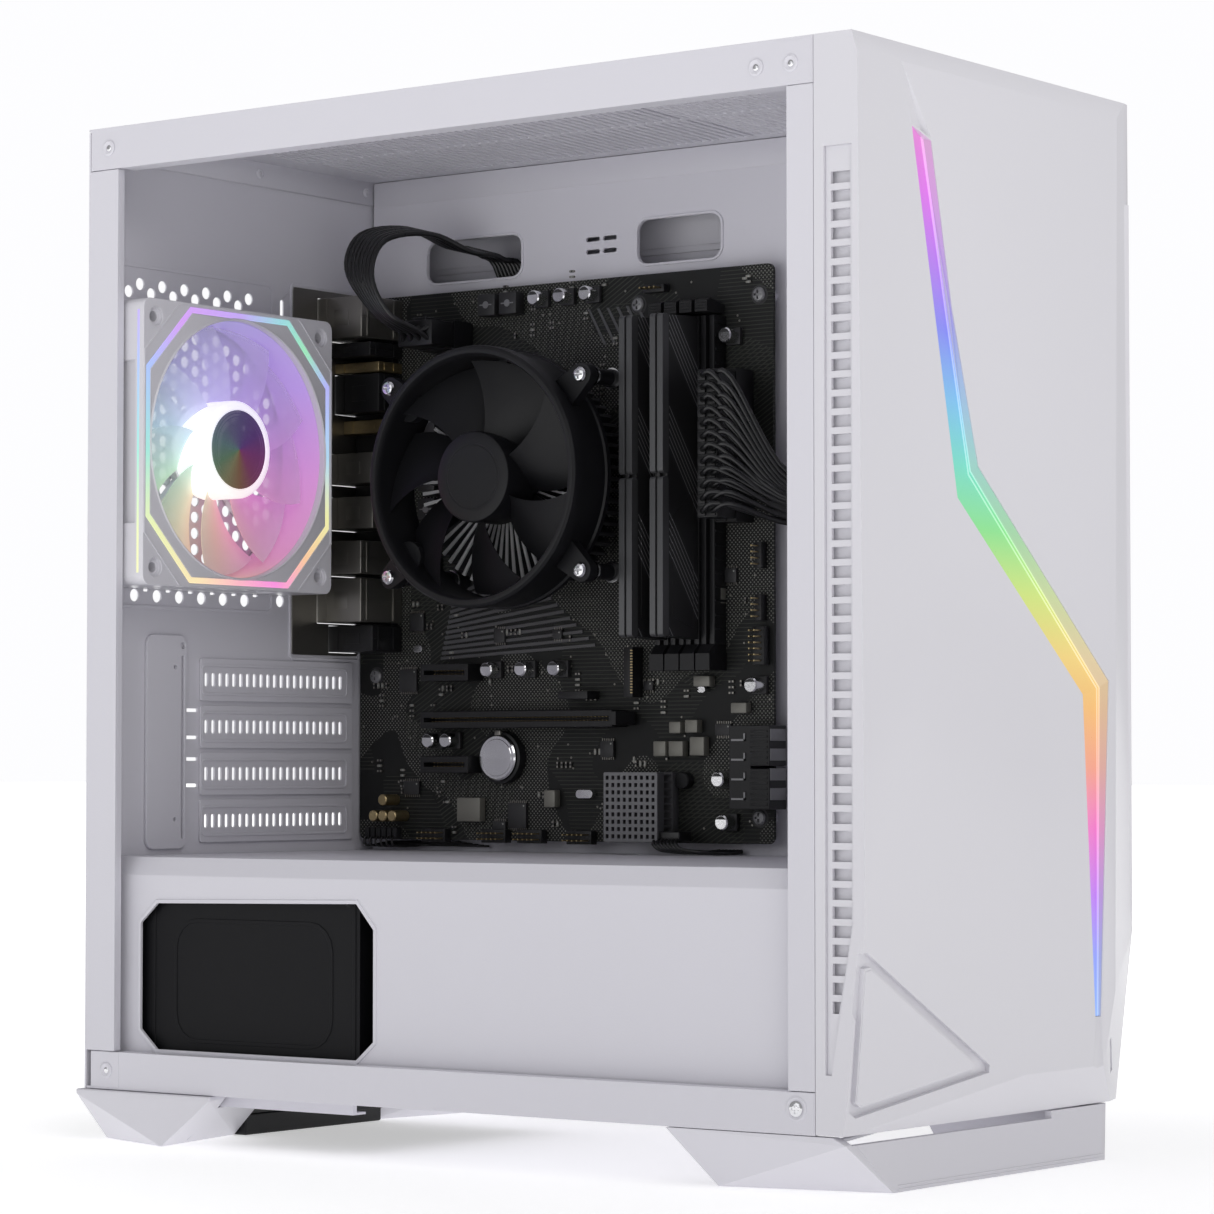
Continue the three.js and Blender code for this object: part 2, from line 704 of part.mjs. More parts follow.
function coolerFanRotor() {
  return rotor("x", COOLER.y, COOLER.z, {
    hub: COOLER.hub,
    tip: 49.8,
    hubSpan: [12, 31.4],
    bladeSpan: [15, 29],
    blades: 7,
    width: 40,
    sweep: -14,
    thick: 1.6,
  });
}

// Straight fins that spread from a round core like the spokes of a wheel.
function coolerHeatsink() {
  const { y, z, back } = COOLER;
  const fins = 30;
  const outline = count(fins).flatMap((i) => {
    const step = 360 / fins;
    return [
      [0.06, 46],
      [0.36, 46],
      [0.4, 20],
      [0.96, 20],
    ].map(([share, radius]) => {
      const turn = radians(step * (i + share));
      return [y + radius * Math.cos(turn), z + radius * Math.sin(turn)];
    });
  });
  return join(prism("x", outline, [back + GAP, 60]), disc("x", y, z, 19, [59, BOARD_SEAT]));
}

// ---------------------------------------------------------------- motherboard

function motherboard() {
  const span = [BOARD_FACE, BOARD_FACE + BOARD_THICK];
  const sheet = prism("x", softRectangle([155, 381.4], [101, 345], 4), span);
  const posts = COOLER_EARS.map(([y, z]) => disc("x", y, z, 3, [span[0] - 1, span[1] + 1], 8));
  return cut(sheet, ...posts);
}

// Rear sockets: [low, high] in height, and how far the housing stands off the board.
const PORTS = [
  { z: [318, 343], face: 42, socket: [46, 64] },
  { z: [292, 314.5], face: 54 },
  { z: [281, 290], face: 60 },
  { z: [259, 274], face: 50, socket: [53, 67] },
  { z: [239, 254.5], face: 50, socket: [53, 67] },
  { z: [197.5, 234.5], face: 42, socket: [45, 62] },
  { z: [184.6, 195.5], face: 50 },
];
const PORT_BACK = 385.6;

function portHousing({ z, face, socket }, margin = 0) {
  const housing = block(
    [face - margin, BOARD_SEAT - 2 + margin],
    [357 - margin, PORT_BACK],
    [z[0] - margin, z[1] + margin],
  );
  if (!socket || margin) return housing;
  const middle = (z[0] + z[1]) / 2;
  return cut(housing, block(socket, [370, PORT_BACK + 1], [middle - 3.2, middle + 3.2]));
}

function ioPortStack() {
  const spine = block([BOARD_SEAT - 4, BOARD_SEAT], [359, 380.5], [184.6, 343]);
  return join(spine, ...PORTS.map((port) => portHousing(port)));
}

function ioShield() {
  const plate = block([25, BOARD_FACE - 1], [381.9, INNER_REAR], [183.2, 346.8]);
  return cut(plate, ...PORTS.map((port) => portHousing(port, GAP)));
}

const memoryDepth = (index) => MEMORY.firstDepth - MEMORY.pitch * index;

function memorySlot(index) {
  const y = memoryDepth(index);
  const body = block([62, BOARD_SEAT], [y - 3.6, y + 3.6], [MEMORY.low, MEMORY.high]);
  const footing = block([58, BOARD_SEAT], [y - 3.6, y + 3.6], [MEMORY.low - 6, MEMORY.low + 1]);
  const groove = block([60, 68], [y - 0.9, y + 0.9], [MEMORY.low + 2, MEMORY.high - 1]);
  return cut(join(body, footing), groove);
}

function memoryModule(index) {
  const y = memoryDepth(index);
  const low = MEMORY.low + 7;
  const high = MEMORY.high - 0.4;
  const spreader = block([36, 61.6], [y - 3.4, y + 3.4], [low, high]);
  const edge = block([61, 67.5], [y - 0.6, y + 0.6], [low + 1, high - 1]);
  return join(spreader, edge);
}

function memoryLatch(index) {
  const y = memoryDepth(index);
  const pivot = [68, MEMORY.high + 3];
  const profile = [
    ...discOutline(...pivot, 2.3, 10),
    [57, MEMORY.high + 1],
    [57, MEMORY.high + 6],
    [60, MEMORY.high + 7],
  ];
  return hull(profile.flatMap(([x, z]) => [-3.2, 3.2].map((d) => new THREE.Vector3(x, y + d, z))));
}

function cardSlot(middle, [from, to]) {
  const body = block([59.7, BOARD_SEAT], [from, to], [middle - 3.7, middle + 3.7]);
  return cut(body, block([58, 68], [from + 2, to - 2], [middle - 0.9, middle + 0.9]));
}

function graphicsSlotLatch() {
  const middle = slotHeight(1) + 3.4;
  const profile = [...discOutline(227.3, 0, 2.3, 10).map(([y, x]) => [x + 68, y]), [56, 226.4], [56, 229.4]];
  return hull(profile.flatMap(([x, y]) => [-3, 3].map((d) => new THREE.Vector3(x, y, middle + d))));
}

function chipsetHeatsink() {
  const base = block([66, BOARD_SEAT], [203.8, 232], [101.5, 131]);
  const fins = count(9).map((i) => {
    const y = 204.2 + 3.2 * i;
    return block([55, 66.5], [y, y + 1.8], [101.8, 130.7]);
  });
  return join(base, ...fins);
}

function cmosBattery() {
  const holder = prism("x", discOutline(297.6, 137.4, 11.5, 20), [68, BOARD_SEAT]);
  return join(holder, disc("x", 297.6, 137.4, 10, [64.4, 69]));
}

function sataPorts() {
  const body = block([58, BOARD_SEAT], [148.5, 169], [115.6, 150.6]);
  return cut(body, block([57, 72], [147, 158], [132.6, 133.6]));
}

function atxPowerConnector() {
  return block([58, BOARD_SEAT], [164.8, 175.4], [236, 300]);
}

// The bundle from the power supply: down behind the tray, then forward and round to the board's edge.
function atxPowerCable() {
  const plug = block([44, 58 - GAP], [165, 175.2], [237, 299]);
  const bundle = cable(
    [
      [50, 168, 262],
      [49, 156, 262],
      [56, 142, 258],
      [70, 126, 252],
      [84, 114, 240],
      [91, 112, 215],
      [91, 122, 150],
      [91, 150, 80],
      [90, 178, 52],
      [80.5, 203, 46],
      [64, 219, 46],
      [52, 232, 46],
      [52, 243.6, 46],
    ],
    6.5,
    28,
  );
  return join(plug, bundle);
}

function cpuPowerConnector() {
  return block([58, BOARD_SEAT], [316, 336], [318, 330]);
}

function cpuPowerCable() {
  const plug = block([42, 58 - GAP], [316.4, 335.6], [318.4, 329.6]);
  const bundle = cable(
    [
      [50, 326, 324],
      [38, 327, 325],
      [26, 333, 333],
      [22, 341, 350],
      [30, 340, 366],
      [50, 330, 370],
      [66, 320, 363],
      [80.5, 314, 361],
      [90.5, 306, 343],
      [91, 280, 220],
      [91, 250, 110],
      [89, 232, 80],
      [80.5, 216, 73],
      [60, 222, 72],
      [48, 232, 72],
      [48, 243.6, 72],
    ],
    4.6,
    38,
  );
  return join(plug, bundle);
}

// ---------------------------------------------------------------- power supply and drive

const SUPPLY_FAN = { x: -16, y: 306, bore: 56, tip: 53 };
const SWITCH = { x: -14, z: 62, pivotDepth: 381, halfTall: 8.8 };

// A steel casing, hollow behind its round air intake. The fan hangs on a bar across the inside.
function psuBody() {
  const { x, y, z } = POWER_SUPPLY;
  const wall = 1.2;
  const within = ([low, high]) => [low + wall, high - wall];
  const shell = cut(block(x, y, z), block(within(x), [y[0] + wall, 366], within(z)));
  const nose = block([-86, 54], [y[1] - 2, DEPTH + 0.4], [8, 83]);
  const intake = disc("z", SUPPLY_FAN.x, SUPPLY_FAN.y, SUPPLY_FAN.bore, [z[0] - 1, z[0] + 2], 32);
  const { y: fanDepth } = SUPPLY_FAN;
  const hanger = block([x[0] + wall / 2, x[1] - wall / 2], [fanDepth - 6, fanDepth + 6], [28, 31]);
  const inlet = prism("y", octagon([-66, -38.5], [52, 72], 4), [370, DEPTH + 2]);
  const switchWell = block([SWITCH.x - 7, SWITCH.x + 7], [372, DEPTH + 2], [SWITCH.z - 10.4, SWITCH.z + 10.4]);
  return cut(join(shell, nose, hanger), intake, inlet, switchWell);
}

function psuFanRotor() {
  return rotor("z", SUPPLY_FAN.x, SUPPLY_FAN.y, {
    hub: 20,
    tip: SUPPLY_FAN.tip,
    hubSpan: [5, 26],
    bladeSpan: [8, 22],
    blades: 7,
    width: 34,
    sweep: 10,
    thick: 1.6,
  });
}

// A rocker that rests tipped one way about its own middle.
function psuSwitch() {
  const tip = radians(6);
  const { x, z, pivotDepth, halfTall } = SWITCH;
  const outline = [
    [-4.5, -4],
    [2.6, -halfTall],
    [4.1, -halfTall],
    [2.9, 0],
    [4.1, halfTall],
    [2.6, halfTall],
    [-4.5, 4],
  ].map(([y, v]) => [
    pivotDepth + y * Math.cos(tip) - v * Math.sin(tip),
    z + y * Math.sin(tip) + v * Math.cos(tip),
  ]);
  return prism("x", outline.reverse(), [x - 6.5, x + 6.5]);
}

function driveCage() {
  const outer = block([-75, 78], [44, 152], [SHEET + GAP, 44]);
  const inner = block([-80, 74], [46, 150], [3.5, 41.5]);
  return cut(outer, inner);
}

function hardDrive() {
  return block([-73, 73.5], [47, 149], [6, 32]);
}

// ---------------------------------------------------------------- the assembly

const steelCase = assembly();
piece(steelCase, "chassis_floor", chassisFloor(), WHITE_STEEL);
piece(steelCase, "chassis_rear", chassisRear(), WHITE_STEEL);
piece(steelCase, "chassis_top", chassisTop(), WHITE_STEEL);
piece(steelCase, "chassis_front", chassisFront(), WHITE_STEEL);
piece(steelCase, "motherboard_tray", motherboardTray(), WHITE_STEEL);
piece(steelCase, "psu_shroud", powerSupplyShroud(), WHITE_STEEL);
piece(steelCase, "slot_bracket", slotBracket(), WHITE_STEEL);
count(SLOT_COUNT).forEach((i) => piece(steelCase, `slot_cover_${i + 1}`, slotCover(i), WHITE_STEEL));

const feet = assembly();
piece(feet, "front_foot", frontFoot(), WHITE_PLASTIC);
piece(feet, "rear_foot_left", rearFoot(-1), WHITE_PLASTIC);
piece(feet, "rear_foot_right", rearFoot(1), WHITE_PLASTIC);
piece(feet, "rear_foot_bar", rearFootBar(), BLACK_PLASTIC);

const covers = assembly();
piece(covers, "right_side_panel", rightSidePanel(), WHITE_STEEL);
piece(covers, "front_panel_shell", frontPanelShell(), WHITE_PLASTIC);
piece(covers, "front_light_bar", frontLightBar(), LIGHT);
piece(covers, "front_vent_left", frontVent(-1), WHITE_PLASTIC);
piece(covers, "front_vent_right", frontVent(1), WHITE_PLASTIC);
piece(covers, "top_io_panel", topIoPanel(), WHITE_PLASTIC);
piece(covers, "power_button", pushButton(POWER_BUTTON), WHITE_PLASTIC);
piece(covers, "reset_button", pushButton(RESET_BUTTON), WHITE_PLASTIC);
const topFilter = filterSheet([-86, 82], [160, 374], [HEIGHT + GAP, HEIGHT + 1.6], 6, 8);
piece(covers, "top_dust_filter", topFilter, WHITE_PLASTIC);
const supplyFilter = filterSheet([-84.8, 51.8], [254, 386], [-4.2, -0.4], 7, 6);
piece(covers, "psu_dust_filter", supplyFilter, MESH_BLACK);

const rearFan = assembly();
piece(rearFan, "rear_fan_frame", rearFanFrame(), WHITE_PLASTIC);
piece(rearFan, "rear_fan_light_ring", lightRing(GAP / 2, [REAR_FAN.front, REAR_FAN.front + 2]), LIGHT);
piece(rearFan, "rear_fan_rotor", rearFanRotor(), FROSTED);

const cooler = assembly();
piece(cooler, "cooler_fan_frame", coolerFanFrame(), BLACK_PLASTIC);
piece(cooler, "cooler_fan_rotor", coolerFanRotor(), BLACK_PLASTIC);
piece(cooler, "cooler_heatsink", coolerHeatsink(), FIN_METAL);

const board = assembly();
piece(board, "motherboard", motherboard(), BOARD_BLACK);
piece(board, "io_port_stack", ioPortStack(), BRIGHT_METAL);
piece(board, "io_shield", ioShield(), BRIGHT_METAL);
count(4).forEach((i) => {
  piece(board, `memory_slot_${i + 1}`, memorySlot(i), BLACK_PLASTIC);
  piece(board, `memory_latch_${i + 1}`, memoryLatch(i), BLACK_PLASTIC);
});
[0, 2].forEach((i, k) => piece(board, `memory_module_${k + 1}`, memoryModule(i), BLACK_STEEL));
piece(board, "expansion_slot_upper", cardSlot(slotHeight(0) + 4, [310, 337]), BLACK_PLASTIC);
piece(board, "graphics_slot", cardSlot(slotHeight(1) + 3.4, [231, 337]), BLACK_PLASTIC);
piece(board, "graphics_slot_latch", graphicsSlotLatch(), BLACK_PLASTIC);
piece(board, "expansion_slot_lower", cardSlot(slotHeight(2) + 4, [310, 337]), BLACK_PLASTIC);
piece(board, "chipset_heatsink", chipsetHeatsink(), FIN_METAL);
piece(board, "cmos_battery", cmosBattery(), BRIGHT_METAL);
piece(board, "sata_ports", sataPorts(), BLACK_PLASTIC);
piece(board, "atx_power_connector", atxPowerConnector(), BLACK_PLASTIC);
piece(board, "atx_power_cable", atxPowerCable(), CABLE_BLACK);
piece(board, "cpu_power_connector", cpuPowerConnector(), BLACK_PLASTIC);
piece(board, "cpu_power_cable", cpuPowerCable(), CABLE_BLACK);

const supply = assembly();
piece(supply, "psu_body", psuBody(), BLACK_STEEL);
piece(supply, "psu_fan_rotor", psuFanRotor(), BLACK_PLASTIC);
piece(supply, "psu_switch", psuSwitch(), BLACK_PLASTIC);
piece(supply, "drive_cage", driveCage(), WHITE_STEEL);
piece(supply, "hard_drive", hardDrive(), BRIGHT_METAL);

tower.position.set(0, -(FRONT_REACH + REAR_REACH) / 2, FOOT);

export default tower;
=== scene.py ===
"""The looks of a white desktop computer tower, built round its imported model.

Every size is in millimetres from the case's own datum: x from the middle, y back from the front
face and z up from the case floor. CaseFrame turns them into the model's frame, in metres.
"""

import logging
import math
import random
from dataclasses import dataclass
from enum import Enum
from typing import Iterable, Sequence

import bmesh
import bpy
from mathutils import Matrix, Vector


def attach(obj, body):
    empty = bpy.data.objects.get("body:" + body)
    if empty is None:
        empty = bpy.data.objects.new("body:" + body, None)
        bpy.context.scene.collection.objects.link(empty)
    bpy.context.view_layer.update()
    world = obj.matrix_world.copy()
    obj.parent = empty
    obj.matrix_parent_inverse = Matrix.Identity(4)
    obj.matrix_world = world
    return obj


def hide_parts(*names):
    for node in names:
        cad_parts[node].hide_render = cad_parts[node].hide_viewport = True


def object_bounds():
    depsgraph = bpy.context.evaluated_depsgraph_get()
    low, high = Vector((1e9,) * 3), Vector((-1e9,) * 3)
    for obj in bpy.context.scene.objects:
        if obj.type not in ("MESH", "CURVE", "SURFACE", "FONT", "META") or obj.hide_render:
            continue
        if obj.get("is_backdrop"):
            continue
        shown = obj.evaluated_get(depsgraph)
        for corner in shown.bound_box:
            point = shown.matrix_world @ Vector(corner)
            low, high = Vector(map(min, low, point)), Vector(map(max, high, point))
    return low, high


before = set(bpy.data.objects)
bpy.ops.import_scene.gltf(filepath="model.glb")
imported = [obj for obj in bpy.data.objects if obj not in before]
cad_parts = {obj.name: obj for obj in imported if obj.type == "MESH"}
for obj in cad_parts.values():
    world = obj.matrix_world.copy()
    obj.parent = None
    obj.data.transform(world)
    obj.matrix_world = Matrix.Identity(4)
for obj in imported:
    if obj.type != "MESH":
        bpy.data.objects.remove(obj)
CAD_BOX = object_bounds()
LOG = logging.getLogger("tower")

Point = Sequence[float]
Span = tuple[float, float]
Colour = tuple[float, float, float]


@dataclass(frozen=True)
class CaseFrame:
    """Where the case's millimetres lie in the model's frame."""

    foot: float = 22.0
    rear_reach: float = 391.0
    millimetre: float = 0.001
    half_width: float = 102.5
    depth: float = 384.0
    height: float = 400.6

    def matrix(self) -> Matrix:
        """The change from case millimetres to the model's metres."""
        low, high = CAD_BOX
        rear = high[1] - self.rear_reach * self.millimetre
        floor = low[2] + self.foot * self.millimetre
        return Matrix.Translation((0, rear, floor)) @ Matrix.Scale(self.millimetre, 4)


CASE = CaseFrame()
TO_MODEL = CASE.matrix()
TO_CASE = TO_MODEL.inverted()


class Axis(Enum):
    """The axis that an outline is carried along."""

    X = 0
    Y = 1
    Z = 2

    def place(self, u: float, v: float, w: float) -> Vector:
        """The point at (u, v) across this axis and w along it."""
        return Vector({0: (w, u, v), 1: (u, w, v), 2: (u, v, w)}[self.value])


class Slot(Enum):
    """The material slots."""

    STEEL = "steel_white"
    PLASTIC = "plastic_white"
    FOOT = "foot_white"
    LIGHT = "light_strip"
    BLADES = "frosted_blades"
    BLACK = "black_plastic"
    BLACK_STEEL = "black_steel"
    BOARD = "board_black"
    FINS = "fin_metal"
    METAL = "bright_metal"
    CABLE = "cable_black"
    MESH = "mesh_black"
    WHITE_MESH = "mesh_white"
    MEMORY = "memory_grey"


# ------------------------------------------------------------------------------ shader maths


class Signal:
    """A shader socket that takes part in Python arithmetic."""

    def __init__(self, shader: "Shader", socket: bpy.types.NodeSocket) -> None:
        """Wraps an output socket of a shader."""
        self.shader = shader
        self.socket = socket

    def maths(self, operation: str, *others: "Signal | float", first: "float | None" = None) -> "Signal":
        """A Math node on this signal.

        Args:
            operation: the Math node's operation.
            others: the values after this one.
            first: a number that comes before this signal.

        Returns:
            The node's result.
        """
        values = [self, *others] if first is None else [first, self, *others]
        return self.shader.node("ShaderNodeMath", {"operation": operation}, dict(enumerate(values)))

    def __add__(self, other: "Signal | float") -> "Signal":
        """Sum."""
        return self.maths("ADD", other)

    def __sub__(self, other: "Signal | float") -> "Signal":
        """Difference."""
        return self.maths("SUBTRACT", other)

    def __rsub__(self, other: float) -> "Signal":
        """Reflected difference."""
        return self.maths("SUBTRACT", first=other)

    def __mul__(self, other: "Signal | float") -> "Signal":
        """Product."""
        return self.maths("MULTIPLY", other)

    def __truediv__(self, other: "Signal | float") -> "Signal":
        """Quotient."""
        return self.maths("DIVIDE", other)

    def __mod__(self, other: float) -> "Signal":
        """Remainder, from 0 up to other."""
        return self.maths("FLOORED_MODULO", other)

    def __gt__(self, other: "Signal | float") -> "Signal":
        """1 where this is greater."""
        return self.maths("GREATER_THAN", other)

    def __lt__(self, other: "Signal | float") -> "Signal":
        """1 where this is less."""
        return self.maths("LESS_THAN", other)

    def __abs__(self) -> "Signal":
        """Size without sign."""
        return self.maths("ABSOLUTE")

    __radd__ = __add__
    __rmul__ = __mul__

    def least(self, other: "Signal | float") -> "Signal":
        """The smaller of two."""
        return self.maths("MINIMUM", other)

    def most(self, other: "Signal | float") -> "Signal":
        """The larger of two."""
        return self.maths("MAXIMUM", other)

    def clamped(self) -> "Signal":
        """Kept from 0 to 1."""
        return self.least(1.0).most(0.0)


class Shader:
    """The node tree of one material."""

    def __init__(self, name: str) -> None:
        """Starts a material with one principled shader."""
        self.material = bpy.data.materials.new(name)
        self.material.use_nodes = True
        self.nodes = self.material.node_tree.nodes
        self.links = self.material.node_tree.links
        self.surface = self.nodes["Principled BSDF"]

    def connect(self, socket: bpy.types.NodeSocket, value: object) -> None:
        """Links a signal to a socket, or sets the socket's own value."""
        if isinstance(value, Signal):
            self.links.new(value.socket, socket)
        elif isinstance(value, (tuple, list)) and socket.type == "RGBA" and len(value) == 3:
            socket.default_value = (*value, 1.0)
        else:
            socket.default_value = value

    def node(self, kind: str, settings: dict | None = None, inputs: dict | None = None,
             output: int | str = 0) -> Signal:
        """Adds one node.

        Args:
            kind: the node's type.
            settings: its own settings, set first; a ramp's stops are under "stops".
            inputs: values or signals by socket name or index.
            output: the wanted output.

        Returns:
            That output as a signal.
        """
        made = self.nodes.new(kind)
        for key, value in (settings or {}).items():
            if key == "stops":
                self._set_stops(made.color_ramp, value)
            else:
                setattr(made, key, value)
        for key, value in (inputs or {}).items():
            self.connect(made.inputs[key], value)
        return Signal(self, made.outputs[output])

    @staticmethod
    def _set_stops(ramp: bpy.types.ColorRamp, stops: Sequence[tuple[float, Colour]]) -> None:
        """Replaces a ramp's stops with (place, colour) pairs."""
        while len(ramp.elements) > 1:
            ramp.elements.remove(ramp.elements[-1])
        for index, (place, colour) in enumerate(stops):
            stop = ramp.elements[0] if index == 0 else ramp.elements.new(place)
            stop.position = place
            stop.color = (*colour, 1.0)

    def place(self) -> dict[str, Signal]:
        """The point's own x, y and z in case millimetres."""
        point = self.node("ShaderNodeTexCoord", output="Object")
        scale = 1 / CASE.millimetre
        shift = [-TO_MODEL.translation[axis] * scale for axis in range(3)]
        return {
            letter: self.node("ShaderNodeSeparateXYZ", inputs={0: point}, output=letter) * scale + shift[axis]
            for axis, letter in enumerate("XYZ")
        }

    def noise(self, scale: float, detail: float = 2.0, stretch: Point = (1, 1, 1)) -> Signal:
        """Smooth noise from 0 to 1, with scale in cells per metre."""
        point = self.node("ShaderNodeTexCoord", output="Object")
        point = self.node("ShaderNodeMapping", inputs={0: point, "Scale": tuple(stretch)})
        return self.node("ShaderNodeTexNoise", inputs={"Vector": point, "Scale": scale, "Detail": detail})

    def blend(self, share: "Signal | float", first: "Signal | Colour", second: "Signal | Colour") -> Signal:
        """Two colours mixed by a share from 0 to 1."""
        mix = self.nodes.new("ShaderNodeMix")
        mix.data_type = "RGBA"
        self.connect(mix.inputs[0], share)
        self.connect(mix.inputs[6], first)
        self.connect(mix.inputs[7], second)
        return Signal(self, mix.outputs[2])

    def ramp(self, share: Signal, stops: Sequence[tuple[float, Colour]]) -> Signal:
        """Colours along a share from 0 to 1."""
        return self.node("ShaderNodeValToRGB", {"stops": stops}, {0: share})

    def rough_up(self, height: Signal, depth: float, strength: float = 1.0) -> None:
        """Feeds a height, worth depth in metres, to the surface's normal."""
        bump = self.node("ShaderNodeBump", inputs={"Height": height, "Distance": depth, "Strength": strength})
        self.connect(self.surface.inputs["Normal"], bump)

    def wear(self, **values: object) -> None:
        """Sets or links the principled shader's sockets, by name with _ for a space."""
        for key, value in values.items():
            self.connect(self.surface.inputs[key.replace("_", " ")], value)


# ------------------------------------------------------------------------------ finishes


@dataclass(frozen=True)
class Finish:
    """A moulded or coated surface with a fine grain and slight colour variation."""

    name: str
    slot: Slot
    colour: Colour
    roughness: float
    grain: float = 900.0
    relief: float = 0.00003
    mottle: float = 0.03
    metallic: float = 0.0
    coat: float = 0.0
    stretch: Point = (1, 1, 1)
    shine: float = 0.5

    def make(self) -> bpy.types.Material:
        """The finished material."""
        shader = Shader(self.name)
        broad = shader.noise(14.0)
        fine = shader.noise(self.grain, 3.0, self.stretch)
        darker = tuple(channel * (1 - 2 * self.mottle) for channel in self.colour)
        shader.wear(
            Base_Color=shader.blend(broad * 0.7 + fine * 0.3, darker, self.colour),
            Roughness=fine * 0.12 + broad * 0.06 + (self.roughness - 0.09),
            Metallic=self.metallic,
            Coat_Weight=self.coat,
            Coat_Roughness=0.12,
            Specular_IOR_Level=self.shine,
        )
        shader.rough_up(fine, self.relief)
        self.refine(shader)
        return shader.material

    def refine(self, shader: Shader) -> None:
        """Further detail, for finishes built on this one."""


SPECTRUM: tuple[tuple[float, Colour], ...] = (
    (0.00, (0.20, 0.42, 1.00)),
    (0.07, (0.22, 0.30, 0.95)),
    (0.14, (0.48, 0.14, 0.90)),
    (0.22, (0.88, 0.12, 0.55)),
    (0.29, (0.92, 0.32, 0.20)),
    (0.36, (0.95, 0.50, 0.12)),
    (0.42, (0.92, 0.66, 0.16)),
    (0.49, (0.62, 0.80, 0.16)),
    (0.56, (0.22, 0.78, 0.24)),
    (0.63, (0.14, 0.72, 0.56)),
    (0.70, (0.16, 0.52, 0.86)),
    (0.78, (0.20, 0.22, 0.92)),
    (0.86, (0.48, 0.16, 0.88)),
    (0.93, (0.74, 0.14, 0.84)),
    (1.00, (0.80, 0.20, 0.66)),
)


@dataclass(frozen=True)
class ZigzagGlow(Finish):
    """The lit diffuser of the front panel, coloured by its height."""

    low: float = 35.5
    high: float = 370.0
    strength: float = 1.0
    veil: float = 0.0

    def refine(self, shader: Shader) -> None:
        """Colours the light by height and lets a pale veil over it."""
        share = (shader.place()["Z"] - self.low) / (self.high - self.low)
        hue = shader.ramp(share.clamped(), SPECTRUM)
        shader.wear(
            Base_Color=shader.blend(0.84, hue, (0.02, 0.02, 0.02)),
            Emission_Color=shader.blend(self.veil, hue, (0.86, 0.86, 0.92)),
            Emission_Strength=self.strength,
        )


RING_HUES: tuple[tuple[float, Colour], ...] = (
    (0.00, (0.95, 0.42, 0.52)),
    (0.06, (0.92, 0.24, 0.70)),
    (0.12, (0.95, 0.55, 0.30)),
    (0.18, (0.85, 0.84, 0.36)),
    (0.25, (0.40, 0.68, 0.88)),
    (0.33, (0.42, 0.42, 0.92)),
    (0.38, (0.30, 0.78, 0.46)),
    (0.43, (0.28, 0.66, 0.70)),
    (0.50, (0.50, 0.34, 0.88)),
    (0.60, (0.62, 0.30, 0.88)),
    (0.67, (0.36, 0.50, 0.92)),
    (0.76, (0.30, 0.76, 0.66)),
    (0.84, (0.78, 0.86, 0.42)),
    (0.93, (0.94, 0.76, 0.42)),
    (1.00, (0.95, 0.42, 0.52)),
)


@dataclass(frozen=True)
class FanGlow(Finish):
    """Light thrown round the rear fan, coloured by the direction from its middle."""

    middle: Point = (-37.4, 269.0)
    strength: float = 0.6
    clear: float = 1.0
    white_inside: float = 24.0
    body_share: float = 0.5
    glare: float = 0.6
    fade: float = 0.0
    hues: tuple[tuple[float, Colour], ...] = (
        (0.00, (0.98, 0.52, 0.32)),
        (0.10, (0.95, 0.24, 0.60)),
        (0.22, (0.88, 0.20, 0.80)),
        (0.34, (0.52, 0.22, 0.95)),
        (0.48, (0.46, 0.34, 0.92)),
        (0.60, (0.50, 0.50, 0.92)),
        (0.72, (0.48, 0.80, 0.86)),
        (0.82, (0.50, 0.88, 0.56)),
        (0.91, (0.95, 0.90, 0.50)),
        (1.00, (0.98, 0.52, 0.32)),
    )

    def refine(self, shader: Shader) -> None:
        """Turns the direction round the hub into a hue, whiter near the hub."""
        place = shader.place()
        across = place["X"] - self.middle[0]
        up = place["Z"] - self.middle[1]
        turn = across.maths("ARCTAN2", up * -1.0) / (2 * math.pi)
        hue = shader.ramp(turn % 1.0, self.hues)
        reach = (across * across + up * up).maths("SQRT")
        pale = (1.0 - (reach - self.white_inside) / 34.0).clamped()
        rim = 1.0 - pale
        hue = shader.blend(rim * rim * self.fade, hue, (0.46, 0.46, 0.5))
        shader.wear(
            Base_Color=shader.blend(self.body_share, hue, self.colour),
            Emission_Color=shader.blend(pale * pale * self.glare + 0.04, hue, (1.0, 0.98, 1.0)),
            Emission_Strength=self.strength,
            Alpha=self.clear if self.clear == 1.0 else (up * -0.022).clamped() * 0.5 + pale * 0.3 + self.clear,
        )


@dataclass(frozen=True)
class BoardFinish(Finish):
    """Black solder mask over a woven ground, with copper tracks just showing through."""

    weave: float = 0.55

    def refine(self, shader: Shader) -> None:
        """Draws the weave, in patches, and bundles of slanting tracks."""
        place = shader.place()
        y, z = place["Y"], place["Z"]
        cell = 1.9
        checks = ((y + z) % cell > cell * self.weave) * ((y - z) % cell > cell * self.weave)
        patch = shader.noise(26.0, 0.0) > 0.47
        pitch = 2.1
        slanted = ((y * 0.6 + z) % pitch > pitch * 0.72) * (shader.noise(19.0, 0.0) > 0.56)
        upright = (z % 1.7 > 1.36) * (shader.noise(23.0, 0.0) < 0.42)
        lines = slanted.most(upright)
        mask = shader.blend(checks * patch, self.colour, (0.17, 0.17, 0.155))
        shader.wear(
            Base_Color=shader.blend(lines * 0.75, mask, (0.048, 0.052, 0.042)),
            Roughness=0.58 - checks * patch * 0.2,
        )
        shader.rough_up(checks * patch + lines, 0.00006)


